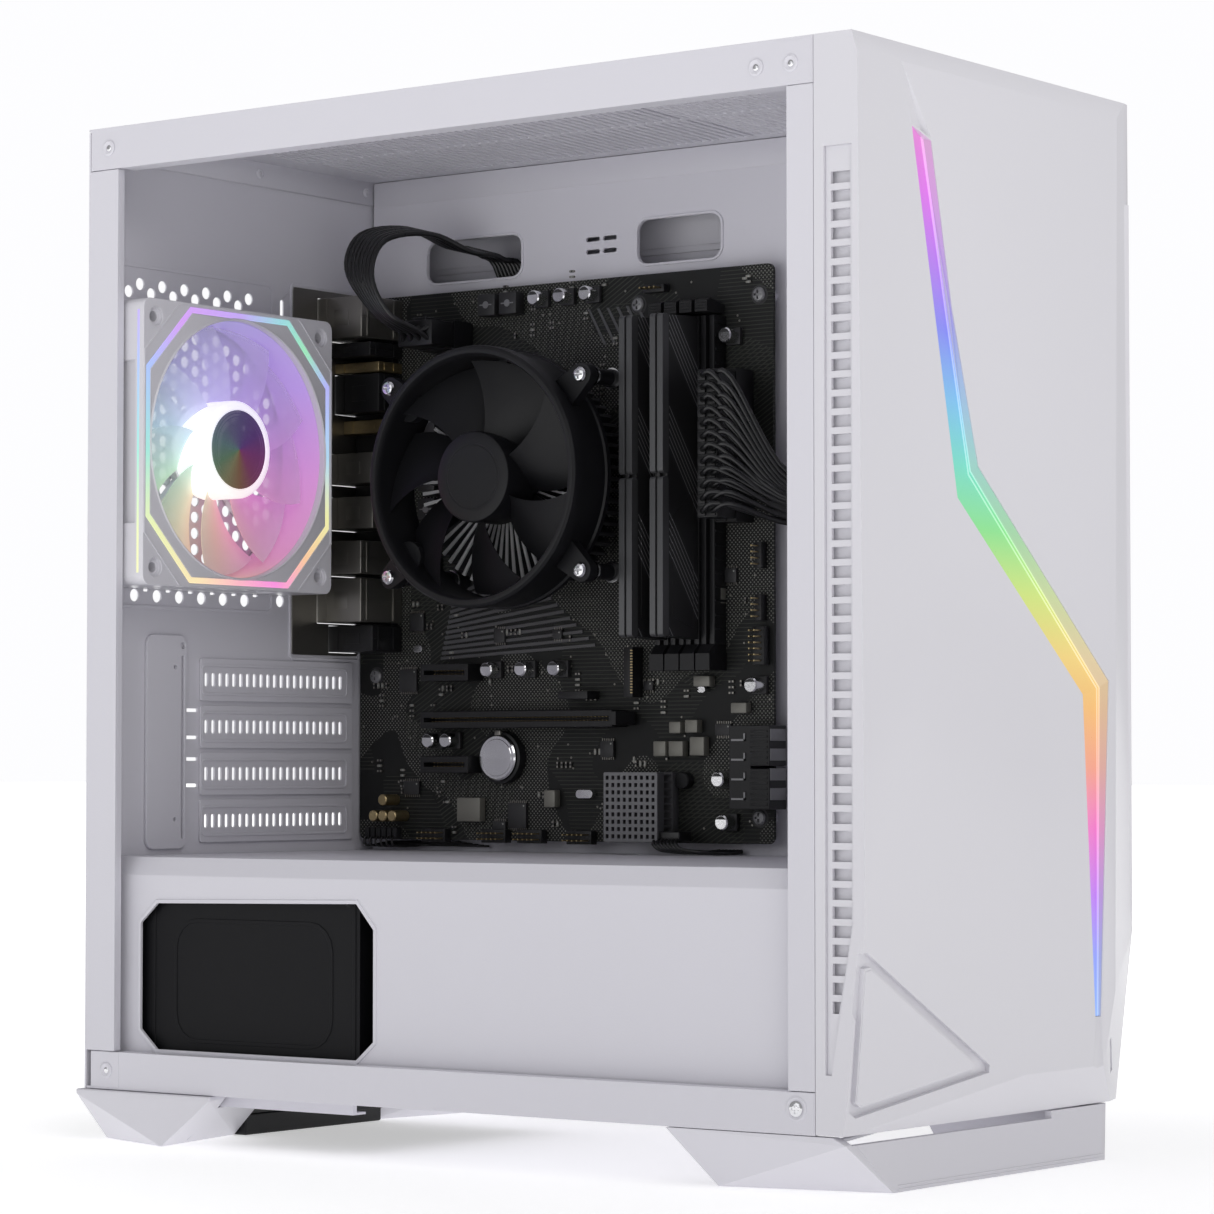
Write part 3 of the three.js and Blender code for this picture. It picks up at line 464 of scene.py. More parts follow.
@dataclass(frozen=True)
class TippedFins(Finish):
    """Fins coloured dark as painted shade between them, with painted light on the tips that lie nearer than
    the edge.
    """

    axis: str = "X"
    edge: float = 37.2
    tip: Colour = (0.78, 0.78, 0.8)

    def refine(self, shader: Shader) -> None:
        """Brightens what lies nearer than the edge: painted light on the tips against the painted shade of the
        rest.
        """
        # painted light: nearer than the edge the fins turn pale, smoother and a little metallic
        bright = shader.place()[self.axis] < self.edge
        shader.wear(
            Base_Color=shader.blend(bright, self.colour, self.tip),
            Metallic=bright * 0.25,
            Roughness=0.5 - bright * 0.2,
        )


@dataclass(frozen=True)
class SpreaderFinish(Finish):
    """A dark heat spreader with thin slanting lines in groups."""

    def refine(self, shader: Shader) -> None:
        """Scores the groups of slanting lines."""
        place = shader.place()
        slant = place["Z"] + place["X"] * 1.35
        pitch = 3.2
        group = 46.0
        lines = (slant % pitch < 0.6) * (slant % group < 19.0) * (place["X"] > 41.0)
        shader.wear(Base_Color=shader.blend(lines, self.colour, (0.26, 0.26, 0.27)),
                    Roughness=0.42 - lines * 0.1)


@dataclass(frozen=True)
class Palette:
    """Every finish of the tower, each made once."""

    steel: Finish = Finish("powder_coat_white", Slot.STEEL, (0.70, 0.69, 0.745), 0.46, 1500.0, 0.00004, 0.012)
    plastic: Finish = Finish("gloss_plastic_white", Slot.PLASTIC, (0.72, 0.71, 0.755), 0.34, 700.0, 0.000003,
                             0.01, coat=0.2)
    foot: Finish = Finish("foot_plastic_white", Slot.FOOT, (0.70, 0.69, 0.74), 0.34, 900.0, 0.00003, 0.012,
                          coat=0.1)
    zigzag: Finish = ZigzagGlow("zigzag_light", Slot.LIGHT, (0.8, 0.8, 0.86), 0.3, strength=0.74, veil=0.03)
    zigzag_core: Finish = ZigzagGlow("zigzag_light_core", Slot.LIGHT, (0.9, 0.9, 0.95), 0.2, strength=1.0,
                                     veil=0.35)
    zigzag_lens: Finish = ZigzagGlow("zigzag_far_wall", Slot.LIGHT, (0.7, 0.7, 0.74), 0.22, strength=0.62,
                                     veil=0.42)
    fan_ring: Finish = FanGlow("fan_ring_light", Slot.LIGHT, (0.1, 0.1, 0.1), 0.3, strength=0.95,
                               white_inside=-20.0, body_share=0.9, hues=RING_HUES)
    fan_blade: Finish = FanGlow("fan_blades_lit", Slot.BLADES, (0.62, 0.6, 0.68), 0.36, strength=0.24,
                                clear=0.3, body_share=0.6, glare=0.25, fade=0.7)
    fan_bore: Finish = FanGlow("fan_bore_lit", Slot.PLASTIC, (0.6, 0.6, 0.66), 0.4, strength=0.2,
                               white_inside=-20.0, body_share=0.6)
    fan_hub: Finish = FanGlow("fan_hub_lit", Slot.BLADES, (0.86, 0.86, 0.9), 0.35, strength=0.62,
                              white_inside=22.0,
                              glare=0.8, body_share=0.85)
    fan_mirror: Finish = FanGlow("fan_hub_mirror", Slot.BLADES, (0.006, 0.004, 0.005), 0.1, 200.0, 0.000001,
                                 0.3,
                                 strength=0.14, white_inside=-40.0, body_share=0.96, coat=1.0)
    black: Finish = Finish("black_plastic_satin", Slot.BLACK, (0.011, 0.011, 0.0125), 0.42, 1300.0, 0.00003,
                           0.08,
                            shine=0.35)
    black_soft: Finish = Finish("black_plastic_fan", Slot.BLACK, (0.006, 0.006, 0.0075), 0.45, 1100.0,
                                0.00002,
                                0.06, shine=0.28)
    rubber: Finish = Finish("rubber_black", Slot.BLACK, (0.01, 0.01, 0.011), 0.62, 1500.0, 0.00006, 0.08)
    black_steel: Finish = Finish("black_powder_coat", Slot.BLACK_STEEL, (0.005, 0.005, 0.0065), 0.55, 1400.0,
                                 0.00003, 0.06, shine=0.2)
    board: Finish = BoardFinish("solder_mask_black", Slot.BOARD, (0.008, 0.0085, 0.0085), 0.42, shine=0.3)
    # painted shade: the cooler fins' dark colour stands for the shade deep between them
    fins: Finish = TippedFins("cooler_fins", Slot.FINS, (0.03, 0.03, 0.033), 0.5)
    # painted light on the chipset sink's front faces, its deeper parts left darker as painted shade
    chipset: Finish = TippedFins("chipset_fins", Slot.FINS, (0.07, 0.07, 0.075), 0.45, edge=55.6,
                                 tip=(0.15, 0.15, 0.16))
    drive: Finish = Finish("drive_casting", Slot.FINS, (0.62, 0.62, 0.64), 0.38, 500.0, 0.00003, 0.05, 0.9)
    metal: Finish = Finish("brushed_plate", Slot.METAL, (0.26, 0.25, 0.23), 0.36, 1200.0, 0.00001, 0.03, 0.9)
    chrome: Finish = Finish("bright_plate", Slot.METAL, (0.80, 0.80, 0.82), 0.16, 900.0, 0.00001, 0.05, 1.0)
    gold: Finish = Finish("gold_flash", Slot.METAL, (0.42, 0.33, 0.18), 0.34, 900.0, 0.00001, 0.05, 0.9)
    chip: Finish = Finish("chip_package", Slot.BOARD, (0.022, 0.022, 0.024), 0.5, 2200.0, 0.00003, 0.1)
    chip_grey: Finish = Finish("chip_lid_grey", Slot.METAL, (0.25, 0.25, 0.26), 0.42, 900.0, 0.00002, 0.06,
                               0.6)
    board_rib: Finish = Finish("board_rib", Slot.BOARD, (0.075, 0.075, 0.08), 0.4, 1200.0, 0.00002, 0.05)
    part_grey: Finish = Finish("small_part_grey", Slot.METAL, (0.21, 0.205, 0.18), 0.4, 900.0, 0.00002, 0.08,
                               0.3)
    board_mark: Finish = Finish("board_mark", Slot.BOARD, (0.30, 0.31, 0.29), 0.6, 1200.0, 0.00002, 0.05)
    memory: Finish = SpreaderFinish("memory_spreader", Slot.MEMORY, (0.016, 0.016, 0.017), 0.4)
    memory_spine: Finish = Finish("memory_spine", Slot.MEMORY, (0.085, 0.086, 0.09), 0.36, 900.0, 0.00002,
                                  0.06,
                                  0.4)
    cable: Finish = Finish("wire_jacket", Slot.CABLE, (0.010, 0.010, 0.011), 0.3, 700.0, 0.00002, 0.06)
    net: Finish = Finish("filter_net", Slot.MESH, (0.04, 0.04, 0.044), 0.7)
    white_net: Finish = Finish("filter_net_white", Slot.WHITE_MESH, (0.66, 0.66, 0.70), 0.6)

    def material(self, finish: Finish) -> bpy.types.Material:
        """The material of a finish, made the first time that it is asked for."""
        return bpy.data.materials.get(finish.name) or finish.make()


PALETTE = Palette()


# ------------------------------------------------------------------------------ shapes


def circle(u: float, v: float, radius: float, sides: int = 24, start: float = 0.0) -> list[Point]:
    """Points round a circle, from an angle in degrees."""
    turns = [math.radians(start) + 2 * math.pi * step / sides for step in range(sides)]
    return [(u + radius * math.cos(turn), v + radius * math.sin(turn)) for turn in turns]


def soft_box(u: Span, v: Span, radius: float, steps: int = 5) -> list[Point]:
    """A rectangle with round corners."""
    corners = ((u[1], v[0], 1, -1, -90), (u[1], v[1], 1, 1, 0), (u[0], v[1], -1, 1, 90),
               (u[0], v[0], -1, -1, 180))
    points = []
    for cu, cv, du, dv, start in corners:
        for step in range(steps):
            turn = math.radians(start + 90 * step / (steps - 1))
            points.append((cu - du * radius + radius * math.cos(turn),
                           cv - dv * radius + radius * math.sin(turn)))
    return points


def around(middle: float, reach: float) -> Span:
    """The span that reaches as far to either side of a middle."""
    return (middle - reach, middle + reach)


def offset(outline: Sequence[Point], distance: float) -> list[Point]:
    """An outline with each edge moved outwards, whichever way round it runs."""
    area = sum(a[0] * b[1] - b[0] * a[1] for a, b in zip(outline, [*outline[1:], outline[0]]))
    side = distance if area > 0 else -distance
    moved = []
    for index, point in enumerate(outline):
        here = Vector(point)
        before = (here - Vector(outline[index - 1])).normalized()
        after = (Vector(outline[(index + 1) % len(outline)]) - here).normalized()
        first, second = Vector((before.y, -before.x)), Vector((after.y, -after.x))
        moved.append(tuple(here + (first + second) * (side / (1 + first.dot(second)))))
    return moved


class Shape:
    """A mesh in the making, in case millimetres."""

    def __init__(self) -> None:
        """Starts empty."""
        self.bm = bmesh.new()

    @classmethod
    def of_node(cls, node: str) -> "Shape":
        """A merged copy of a CAD node's solid."""
        shape = cls()
        shape.bm.from_mesh(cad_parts[node].data)
        bmesh.ops.remove_doubles(shape.bm, verts=shape.bm.verts, dist=1e-6)
        shape.bm.transform(TO_CASE)
        shape.flatten()
        return shape

    def flatten(self) -> "Shape":
        """Joins faces that lie in one plane."""
        bmesh.ops.dissolve_limit(self.bm, angle_limit=math.radians(0.5), verts=self.bm.verts,
                                 edges=self.bm.edges)
        return self

    def box(self, x: Span, y: Span, z: Span, soft: float = 0.0) -> "Shape":
        """Adds a box, with its edges rounded by soft."""
        spans = (x, y, z)
        size = Matrix.Diagonal([high - low for low, high in spans]).to_4x4()
        middle = Matrix.Translation([(low + high) / 2 for low, high in spans])
        made = bmesh.ops.create_cube(self.bm, size=1.0, matrix=middle @ size)
        if soft:
            edges = {edge for vert in made["verts"] for edge in vert.link_edges}
            bmesh.ops.bevel(self.bm, geom=list(edges), offset=soft, segments=2, profile=0.5,
                            affect="EDGES", material=-1)
        return self

    def sheet(self, axis: Axis, outline: Sequence[Point], span: Span,
              holes: Iterable[Sequence[Point]] = ()) -> "Shape":
        """Adds a plate of any outline with holes through it.

        Args:
            axis: the axis across the plate.
            outline: its edge.
            span: from and to along the axis.
            holes: the outlines of its holes.

        Returns:
            This shape.
        """
        edges = []
        for loop in (outline, *holes):
            ring = [self.bm.verts.new(axis.place(u, v, span[0])) for u, v in loop]
            edges += [self.bm.edges.new((a, b)) for a, b in zip(ring, [*ring[1:], ring[0]])]
        filled = bmesh.ops.triangle_fill(self.bm, edges=edges, use_beauty=True)
        faces = [item for item in filled["geom"] if isinstance(item, bmesh.types.BMFace)]
        raised = bmesh.ops.extrude_face_region(self.bm, geom=faces, use_keep_orig=True)["geom"]
        verts = [item for item in raised if isinstance(item, bmesh.types.BMVert)]
        bmesh.ops.translate(self.bm, verts=verts, vec=axis.place(0, 0, span[1] - span[0]))
        return self

    def disc(self, axis: Axis, centre: Point, radius: float, span: Span, sides: int = 32,
             far_radius: float | None = None) -> "Shape":
        """Adds a round plug, or a cone where its far radius differs."""
        u, v = centre
        turn = {Axis.X: Matrix.Rotation(math.pi / 2, 4, "Y"), Axis.Y: Matrix.Rotation(-math.pi / 2, 4, "X"),
                Axis.Z: Matrix.Identity(4)}[axis]
        middle = Matrix.Translation(axis.place(u, v, sum(span) / 2))
        far = radius if far_radius is None else far_radius
        bmesh.ops.create_cone(self.bm, cap_ends=True, segments=sides, radius1=radius, radius2=far,
                              depth=span[1] - span[0], matrix=middle @ turn)
        return self

    def lathe(self, axis: Axis, centre: Point, profile: Sequence[Point], sides: int = 48) -> "Shape":
        """Adds a turned form from its (radius, place along the axis) profile, which closes on itself."""
        u, v = centre
        points = [self.bm.verts.new(axis.place(u + radius, v, w)) for radius, w in profile]
        edges = [self.bm.edges.new((a, b)) for a, b in zip(points, points[1:])]
        if profile[0][0] > 0:
            edges.append(self.bm.edges.new((points[-1], points[0])))
        bmesh.ops.spin(self.bm, geom=[*points, *edges], cent=axis.place(u, v, 0), axis=axis.place(0, 0, 1),
                       angle=2 * math.pi, steps=sides, use_merge=True)
        bmesh.ops.remove_doubles(self.bm, verts=self.bm.verts, dist=1e-4)
        return self

    def hull(self, *points: Point) -> "Shape":
        """Adds the convex solid round some points."""
        verts = [self.bm.verts.new(point) for point in points]
        made = bmesh.ops.convex_hull(self.bm, input=verts)
        spare = [item for item in made["geom_interior"] if isinstance(item, bmesh.types.BMVert)]
        bmesh.ops.delete(self.bm, geom=spare, context="VERTS")
        return self

    def rod(self, points: Sequence[Point], radius: float, sides: int = 8, thin: float = 1.0) -> "Shape":
        """Adds a tube along a line of points, thin making its section narrower across."""
        path = [Vector(point) for point in points]
        rings = []
        side = Vector((0, 0, 1))
        for index, point in enumerate(path):
            ahead = path[min(index + 1, len(path) - 1)] - path[max(index - 1, 0)]
            ahead.normalize()
            side = (side - ahead * side.dot(ahead))
            side = side.normalized() if side.length > 1e-6 else ahead.orthogonal().normalized()
            other = ahead.cross(side)
            basis = Matrix((other * thin, side, ahead)).transposed().to_4x4()
            made = bmesh.ops.create_circle(self.bm, segments=sides, radius=radius,
                                           matrix=Matrix.Translation(point) @ basis)
            rings.append(made["verts"])
        for first, second in zip(rings, rings[1:]):
            edges = {edge for vert in (*first, *second) for edge in vert.link_edges
                     if edge.other_vert(vert) in first or edge.other_vert(vert) in second}
            bmesh.ops.bridge_loops(self.bm, edges=[edge for edge in edges if not edge.link_faces or
                                                   all(v in first for v in edge.verts)])
        for ring in (rings[0], rings[-1]):
            self.bm.faces.new(ring)
        return self

    def moved(self, matrix: Matrix) -> "Shape":
        """Moves or turns everything so far."""
        self.bm.transform(matrix)
        return self

    def added(self, other: "Shape") -> "Shape":
        """Takes in another shape's pieces, leaving them separate."""
        mesh = bpy.data.meshes.new("part")
        other.bm.to_mesh(mesh)
        self.bm.from_mesh(mesh)
        bpy.data.meshes.remove(mesh)
        return self

    def carved(self, cutter: "Shape", operation: str = "DIFFERENCE") -> "Shape":
        """Cuts another shape out of this one, or keeps or joins it."""
        target, tool = self._temporary("target"), cutter._temporary("tool")
        change = target.modifiers.new("carve", "BOOLEAN")
        change.operation = operation
        change.solver = "EXACT"
        change.object = tool
        bpy.context.view_layer.update()
        carved = target.evaluated_get(bpy.context.evaluated_depsgraph_get())
        self.bm = bmesh.new()
        self.bm.from_mesh(carved.to_mesh())
        carved.to_mesh_clear()
        for spent in (target, tool):
            bpy.data.objects.remove(spent)
        bmesh.ops.remove_doubles(self.bm, verts=self.bm.verts, dist=1e-4)
        return self.flatten()

    def _temporary(self, name: str) -> bpy.types.Object:
        """An object that holds this shape while it is cut."""
        bmesh.ops.recalc_face_normals(self.bm, faces=self.bm.faces)
        mesh = bpy.data.meshes.new(name)
        self.bm.to_mesh(mesh)
        holder = bpy.data.objects.new(name, mesh)
        bpy.context.scene.collection.objects.link(holder)
        return holder

    def piece(self, name: str, finish: Finish, body: str = "root", replaces: Sequence[str] = (),
              bevel: float = 0.0, segments: int = 2, smooth: float = 32.0) -> bpy.types.Object:
        """Turns the shape into a finished piece.

        Args:
            name: the piece's name.
            finish: what covers it.
            body: the CAD body that it rides on.
            replaces: the CAD nodes that it stands for.
            bevel: the width of its rounded edges.
            segments: the steps of that rounding.
            smooth: the sharpest angle that is shaded smooth, in degrees.

        Returns:
            The object.
        """
        bmesh.ops.recalc_face_normals(self.bm, faces=self.bm.faces)
        self.bm.transform(TO_MODEL)
        mesh = bpy.data.meshes.new(name)
        self.bm.to_mesh(mesh)
        self.bm.free()
        mesh.materials.append(PALETTE.material(finish))
        made = bpy.data.objects.new(name, mesh)
        bpy.context.scene.collection.objects.link(made)
        shade(made, smooth)
        if bevel:
            soften(made, bevel, segments)
        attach(made, body)
        if replaces:
            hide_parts(*replaces)
        LOG.info("%s: %d faces on %s", name, len(mesh.polygons), body)
        return made


def shade(made: bpy.types.Object, angle: float) -> None:
    """Shades a mesh smooth but for its edges sharper than an angle in degrees."""
    made.data.polygons.foreach_set("use_smooth", [True] * len(made.data.polygons))
    made.data.set_sharp_from_angle(angle=math.radians(angle))


def soften(made: bpy.types.Object, width: float, segments: int = 2) -> None:
    """Rounds an object's sharp edges by a width in millimetres."""
    edge = made.modifiers.new("soft_edges", "BEVEL")
    edge.width = width * CASE.millimetre
    edge.segments = segments
    edge.limit_method = "ANGLE"
    edge.angle_limit = math.radians(24)
    edge.harden_normals = True


def dress(node: str, finish: Finish, bevel: float = 0.3) -> bpy.types.Object:
    """Keeps a CAD node as it is, with a finish and rounded edges.

    Args:
        node: the CAD node.
        finish: its finish.
        bevel: the width of its rounded edges.

    Returns:
        The node's object.
    """
    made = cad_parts[node]
    made.data.materials.clear()
    made.data.materials.append(PALETTE.material(finish))
    weld = made.modifiers.new("weld", "WELD")
    weld.merge_threshold = 1e-6
    if bevel:
        flat = made.modifiers.new("flat_faces", "DECIMATE")
        flat.decimate_type = "DISSOLVE"
        flat.angle_limit = math.radians(0.5)
        soften(made, bevel)
    LOG.info("%s kept", node)
    return made


# ------------------------------------------------------------------------------ fasteners


def screw_head(axis: Axis, centre: Point, radius: float, place: float, out: float,
               cross: bool = True) -> Shape:
    """A domed screw head with a cross recess.

    Args:
        axis: the screw's axis.
        centre: where it lies across the axis.
        radius: the head's radius.
        place: where the head rests along the axis.
        out: how far it stands out, negative against the axis.
        cross: whether the recess is cut.

    Returns:
        The head's shape.
    """
    profile = [(0, place), (radius, place), (radius, place + out * 0.45), (radius * 0.8, place + out * 0.85),
               (radius * 0.45, place + out), (0, place + out)]
    head = Shape().lathe(axis, centre, profile, 24)
    if cross:
        u, v = centre
        deep = sorted((place + out * 0.35, place + out * 1.4))
        long, thin = radius * 0.62, radius * 0.16
        for half_u, half_v in ((long, thin), (thin, long)):
            outline = [(u - half_u, v - half_v), (u + half_u, v - half_v), (u + half_u, v + half_v),
                       (u - half_u, v + half_v)]
            head = head.carved(Shape().sheet(axis, outline, tuple(deep)))
    return head


# ------------------------------------------------------------------------------ steel case


@dataclass
class SteelCase:
    """The folded and punched steel of the case."""

    sheet: float = 1.0
    rear: float = 383.0
    fan_centre: Point = (-37.4, 269.0)
    hole_pitch: float = 7.0
    hole_radius: float = 2.45
    slot_pitch: float = 20.32
    first_slot: float = 171.0
    slots: int = 4
    slits: int = 21

    def build(self) -> None:
        """Makes and dresses every steel piece."""
        for node, bevel in (("chassis_floor", 0.5), ("chassis_front", 0.5), ("psu_shroud", 0.5),
                            ("motherboard_tray", 0.4)):
            dress(node, PALETTE.steel, bevel)
        self.rear_wall()
        self.top()
        self.bracket()
        for index in range(self.slots):
            self.slot_cover(index)
        self.tray_rims()
        self.screws()
        self.seams()

    def fan_grille(self) -> list[list[Point]]:
        """The staggered round air holes behind the fan."""
        x, z = self.fan_centre
        across = self.hole_pitch * math.sin(math.radians(60)) * 1.09
        holes = []
        for column in range(-8, 9):
            for row in range(-8, 9):
                u = x + column * across
                v = z + (row + (column % 2) / 2) * self.hole_pitch
                if math.hypot(u - x, v - z) < 52.5:
                    holes.append(circle(u, v, self.hole_radius, 12))
        return holes

    def rear_wall(self) -> None:
        """The rear wall with its grille, windows and rows of small holes."""
        holes = self.fan_grille()
        for step in range(6):
            holes.append(circle(-79 + 13.8 * step, 334.9, 2.6, 14))
            holes.append(circle(-72.1 + 13.8 * step, 338.6, 2.6, 14))
            holes.append(circle(-74.7 + 13.9 * step, 206.0, 2.7, 14))
            holes.append(soft_box((-69.3 + 13.9 * step, -66.2 + 13.9 * step), (207.8, 208.8), 0.4, 3))
        holes.append(circle(18.2, 206.5, 2.6, 14))
        holes.append(soft_box((17.6, 20.0), (332.6, 340.4), 1.1, 4))
        holes += [soft_box((-43.4, -35.4), around(z, 0.75), 0.5, 3) for z in (157.7, 146.0, 136.7, 125.4)]
        holes.append(soft_box((27, 70), (184, 346.6), 1.0, 3))
        holes.append(soft_box((-88, 56), (5.5, 85.5), 2.0, 3))
        for index in range(self.slots):
            middle = self.first_slot - self.slot_pitch * index
            holes.append(soft_box((-33, 64), around(middle, 6), 1.0, 3))
        outline = [(-CASE.half_width, 0), (101.2, 0), (101.2, 399.3), (-CASE.half_width, 399.3)]
        wall = Shape().sheet(Axis.Y, outline, (self.rear, self.rear + self.sheet), holes)
        wall.box((-102.5, -101.5), (367.2, 383.2), (15.8, 382.7))
        wall.box((-101.6, -98.5), (367.2, 368.2), (15.8, 382.7))
        wall.piece("rear_wall", PALETTE.steel, replaces=["chassis_rear"], bevel=0.35)
        plate = soft_box((-84.5, 11.5), (202.0, 345.4), 2.5)
        ridge = Shape().sheet(Axis.Y, offset(plate, 1.5), (self.rear - 0.55, self.rear + 0.02), [plate])
        ridge.piece("fan_plate_ridge", PALETTE.steel, bevel=0.25)
        ports = soft_box((25.2, 71.2), (182.0, 347.4), 1.6)
        rim = Shape().sheet(Axis.Y, offset(ports, 1.4), (self.rear - 0.7, self.rear + 0.02), [ports])
        rim.piece("rear_port_rim", PALETTE.steel, bevel=0.25)

    def top(self) -> None:
        """The top plate with its slanted slits, the top rail and the flanges."""
        slits = []
        slant, width = 5.0, 1.7
        for x in (-84.0, -31.0, 22.0):
            for step in range(60):
                y = 102.0 + 4.4 * step
                slits.append([(x, y), (x + 50, y + slant), (x + 50, y + slant + width), (x, y + width)])
        hole = soft_box((-60.3, 60.3), (26, 54), 1.0, 3)
        outline = [(-CASE.half_width, 19.3), (101.2, 19.3), (101.2, 384.0), (-CASE.half_width, 384.0)]
        plate = Shape().sheet(Axis.Z, outline, (399.6, 400.6), [hole, *slits])
        plate.box((-102.5, -101.5), (19.3, 382.7), (383.0, 399.8))
        plate.box((-101.6, -93.0), (31.3, 366.9), (383.0, 384.0))
        plate.box((-101.0, 100.0), (381.7, 382.7), (389.0, 399.8), 0.2)
        plate.box((100.2, 101.2), (32.0, 381.0), (386.0, 399.8))
        plate.piece("top_plate", PALETTE.steel, replaces=["chassis_top"], bevel=0.35)

    def bracket(self) -> None:
        """The plate that clamps the expansion covers."""
        outline = soft_box((-68.6, -43.9), (98.4, 189.6), 4.0)
        slot = soft_box((-47.2, -45.4), (102.5, 181.0), 0.8)
        dots = [circle(-51, 176.0, 0.9, 10), circle(-51, 111.0, 0.9, 10), circle(-46.3, 185.2, 1.5, 12)]
        plate = Shape().sheet(Axis.Y, outline, (381.3, 382.7), [slot, *dots])
        plate.piece("expansion_clamp", PALETTE.steel, replaces=["slot_bracket"], bevel=0.35)

    def slot_cover(self, index: int) -> None:
        """One embossed expansion cover with a row of upright slits."""
        middle = self.first_slot - self.slot_pitch * index
        slits = []
        for step in range(self.slits):
            x = -31.1 + 88.8 * step / (self.slits - 1)
            slits.append(soft_box(around(x, 1.0), around(middle, 2.95), 0.85, 3))
        outline = soft_box((-34.6, 66.3), around(middle, 9.2), 1.0, 3)
        cover = Shape().sheet(Axis.Y, outline, (381.7, 382.7), slits)
        inner = soft_box((-33.2, 61.5), around(middle, 5.6), 1.4, 4)
        cover.sheet(Axis.Y, offset(inner, 1.1), (381.25, 381.72), [inner])
        cover.piece(f"expansion_cover_{index + 1}", PALETTE.steel, replaces=[f"slot_cover_{index + 1}"],
                    bevel=0.28)

    def tray_rims(self) -> None:
        """The tray's top flange and the rolled rims round its cable holes."""
        flange = Shape().box((79.8, 80.8), (21.0, 381.2), (388.0, 399.3), 0.2)
        flange.piece("tray_top_flange", PALETTE.steel)
        for name, y, z in (("tray_rim_rear", (296, 349.7), (351, 369.4)),
                           ("tray_rim_front", (188, 232), (351, 370))):
            hole = soft_box(y, z, 5.0, 6)
            rim = Shape().sheet(Axis.X, offset(hole, 1.3), (79.3, 81.8), [offset(hole, 0.05)])
            rim.piece(name, PALETTE.steel, bevel=0.4, segments=3)
        for name, y, z in (("tray_clip_top", 149.5, 312.0), ("tray_clip_middle", 149.0, 148.0),
                           ("tray_clip_low", 148.0, 118.0)):
            clip = Shape().box((76.5, 79.9), (y - 3.0, y), around(z, 4.5), 0.5)
            clip.piece(name, PALETTE.black)

    def screws(self) -> None:
        """Dimpled screws along the open side and plain ones on the top flange."""
        for step, (y, z) in enumerate(((372.6, 391.9), (371.5, 7.8), (44.5, 391.0), (29.0, 391.0))):
            dimple = [(3.3, -102.6), (3.3, -102.9), (2.6, -103.2), (1.9, -102.95), (1.3, -102.7),
                      (1.3, -102.6)]
            Shape().lathe(Axis.X, (y, z), dimple, 28).piece(f"side_dimple_{step + 1}", PALETTE.steel)
            screw_head(Axis.X, (y, z), 1.25, -102.55, -0.3, cross=False).piece(
                f"side_screw_{step + 1}", PALETTE.chrome)
        seat = [(4.6, -102.6), (4.6, -102.8), (4.0, -103.05), (3.4, -102.85), (3.0, -102.65), (3.0, -102.6)]
        Shape().lathe(Axis.X, (27.4, 9.4), seat, 32).piece("corner_screw_seat", PALETTE.steel)
        screw_head(Axis.X, (27.4, 9.4), 2.9, -102.6, -0.9).piece("corner_screw", PALETTE.chrome)
        for step, x in enumerate((2.2, 74.6)):
            screw_head(Axis.Y, (x, 394.6), 2.2, 381.6, -0.8).piece(f"flange_screw_{step + 1}", PALETTE.steel)

    def seams(self) -> None:
        """Thin raised lips where the rails' ends lap over the posts."""
        ends = (
            ("rail_tab_front_top",
             [(20.0, 384.2), (33.5, 384.2), (36.5, 386.5), (36.5, 399.6), (20.0, 399.6)]),
            ("rail_tab_front_low", [(19.8, 0.8), (36.0, 0.8), (36.0, 13.0), (33.5, 15.2), (19.8, 15.2)]),
            ("rail_tab_rear_low", [(364.5, 0.8), (380.2, 0.8), (380.2, 15.2), (364.5, 15.2)]),
        )
        for name, outline in ends:
            lip = Shape().sheet(Axis.X, outline, (-102.62, -102.45))
            lip.piece(name, PALETTE.steel, bevel=0.05)


# ------------------------------------------------------------------------------ front panel


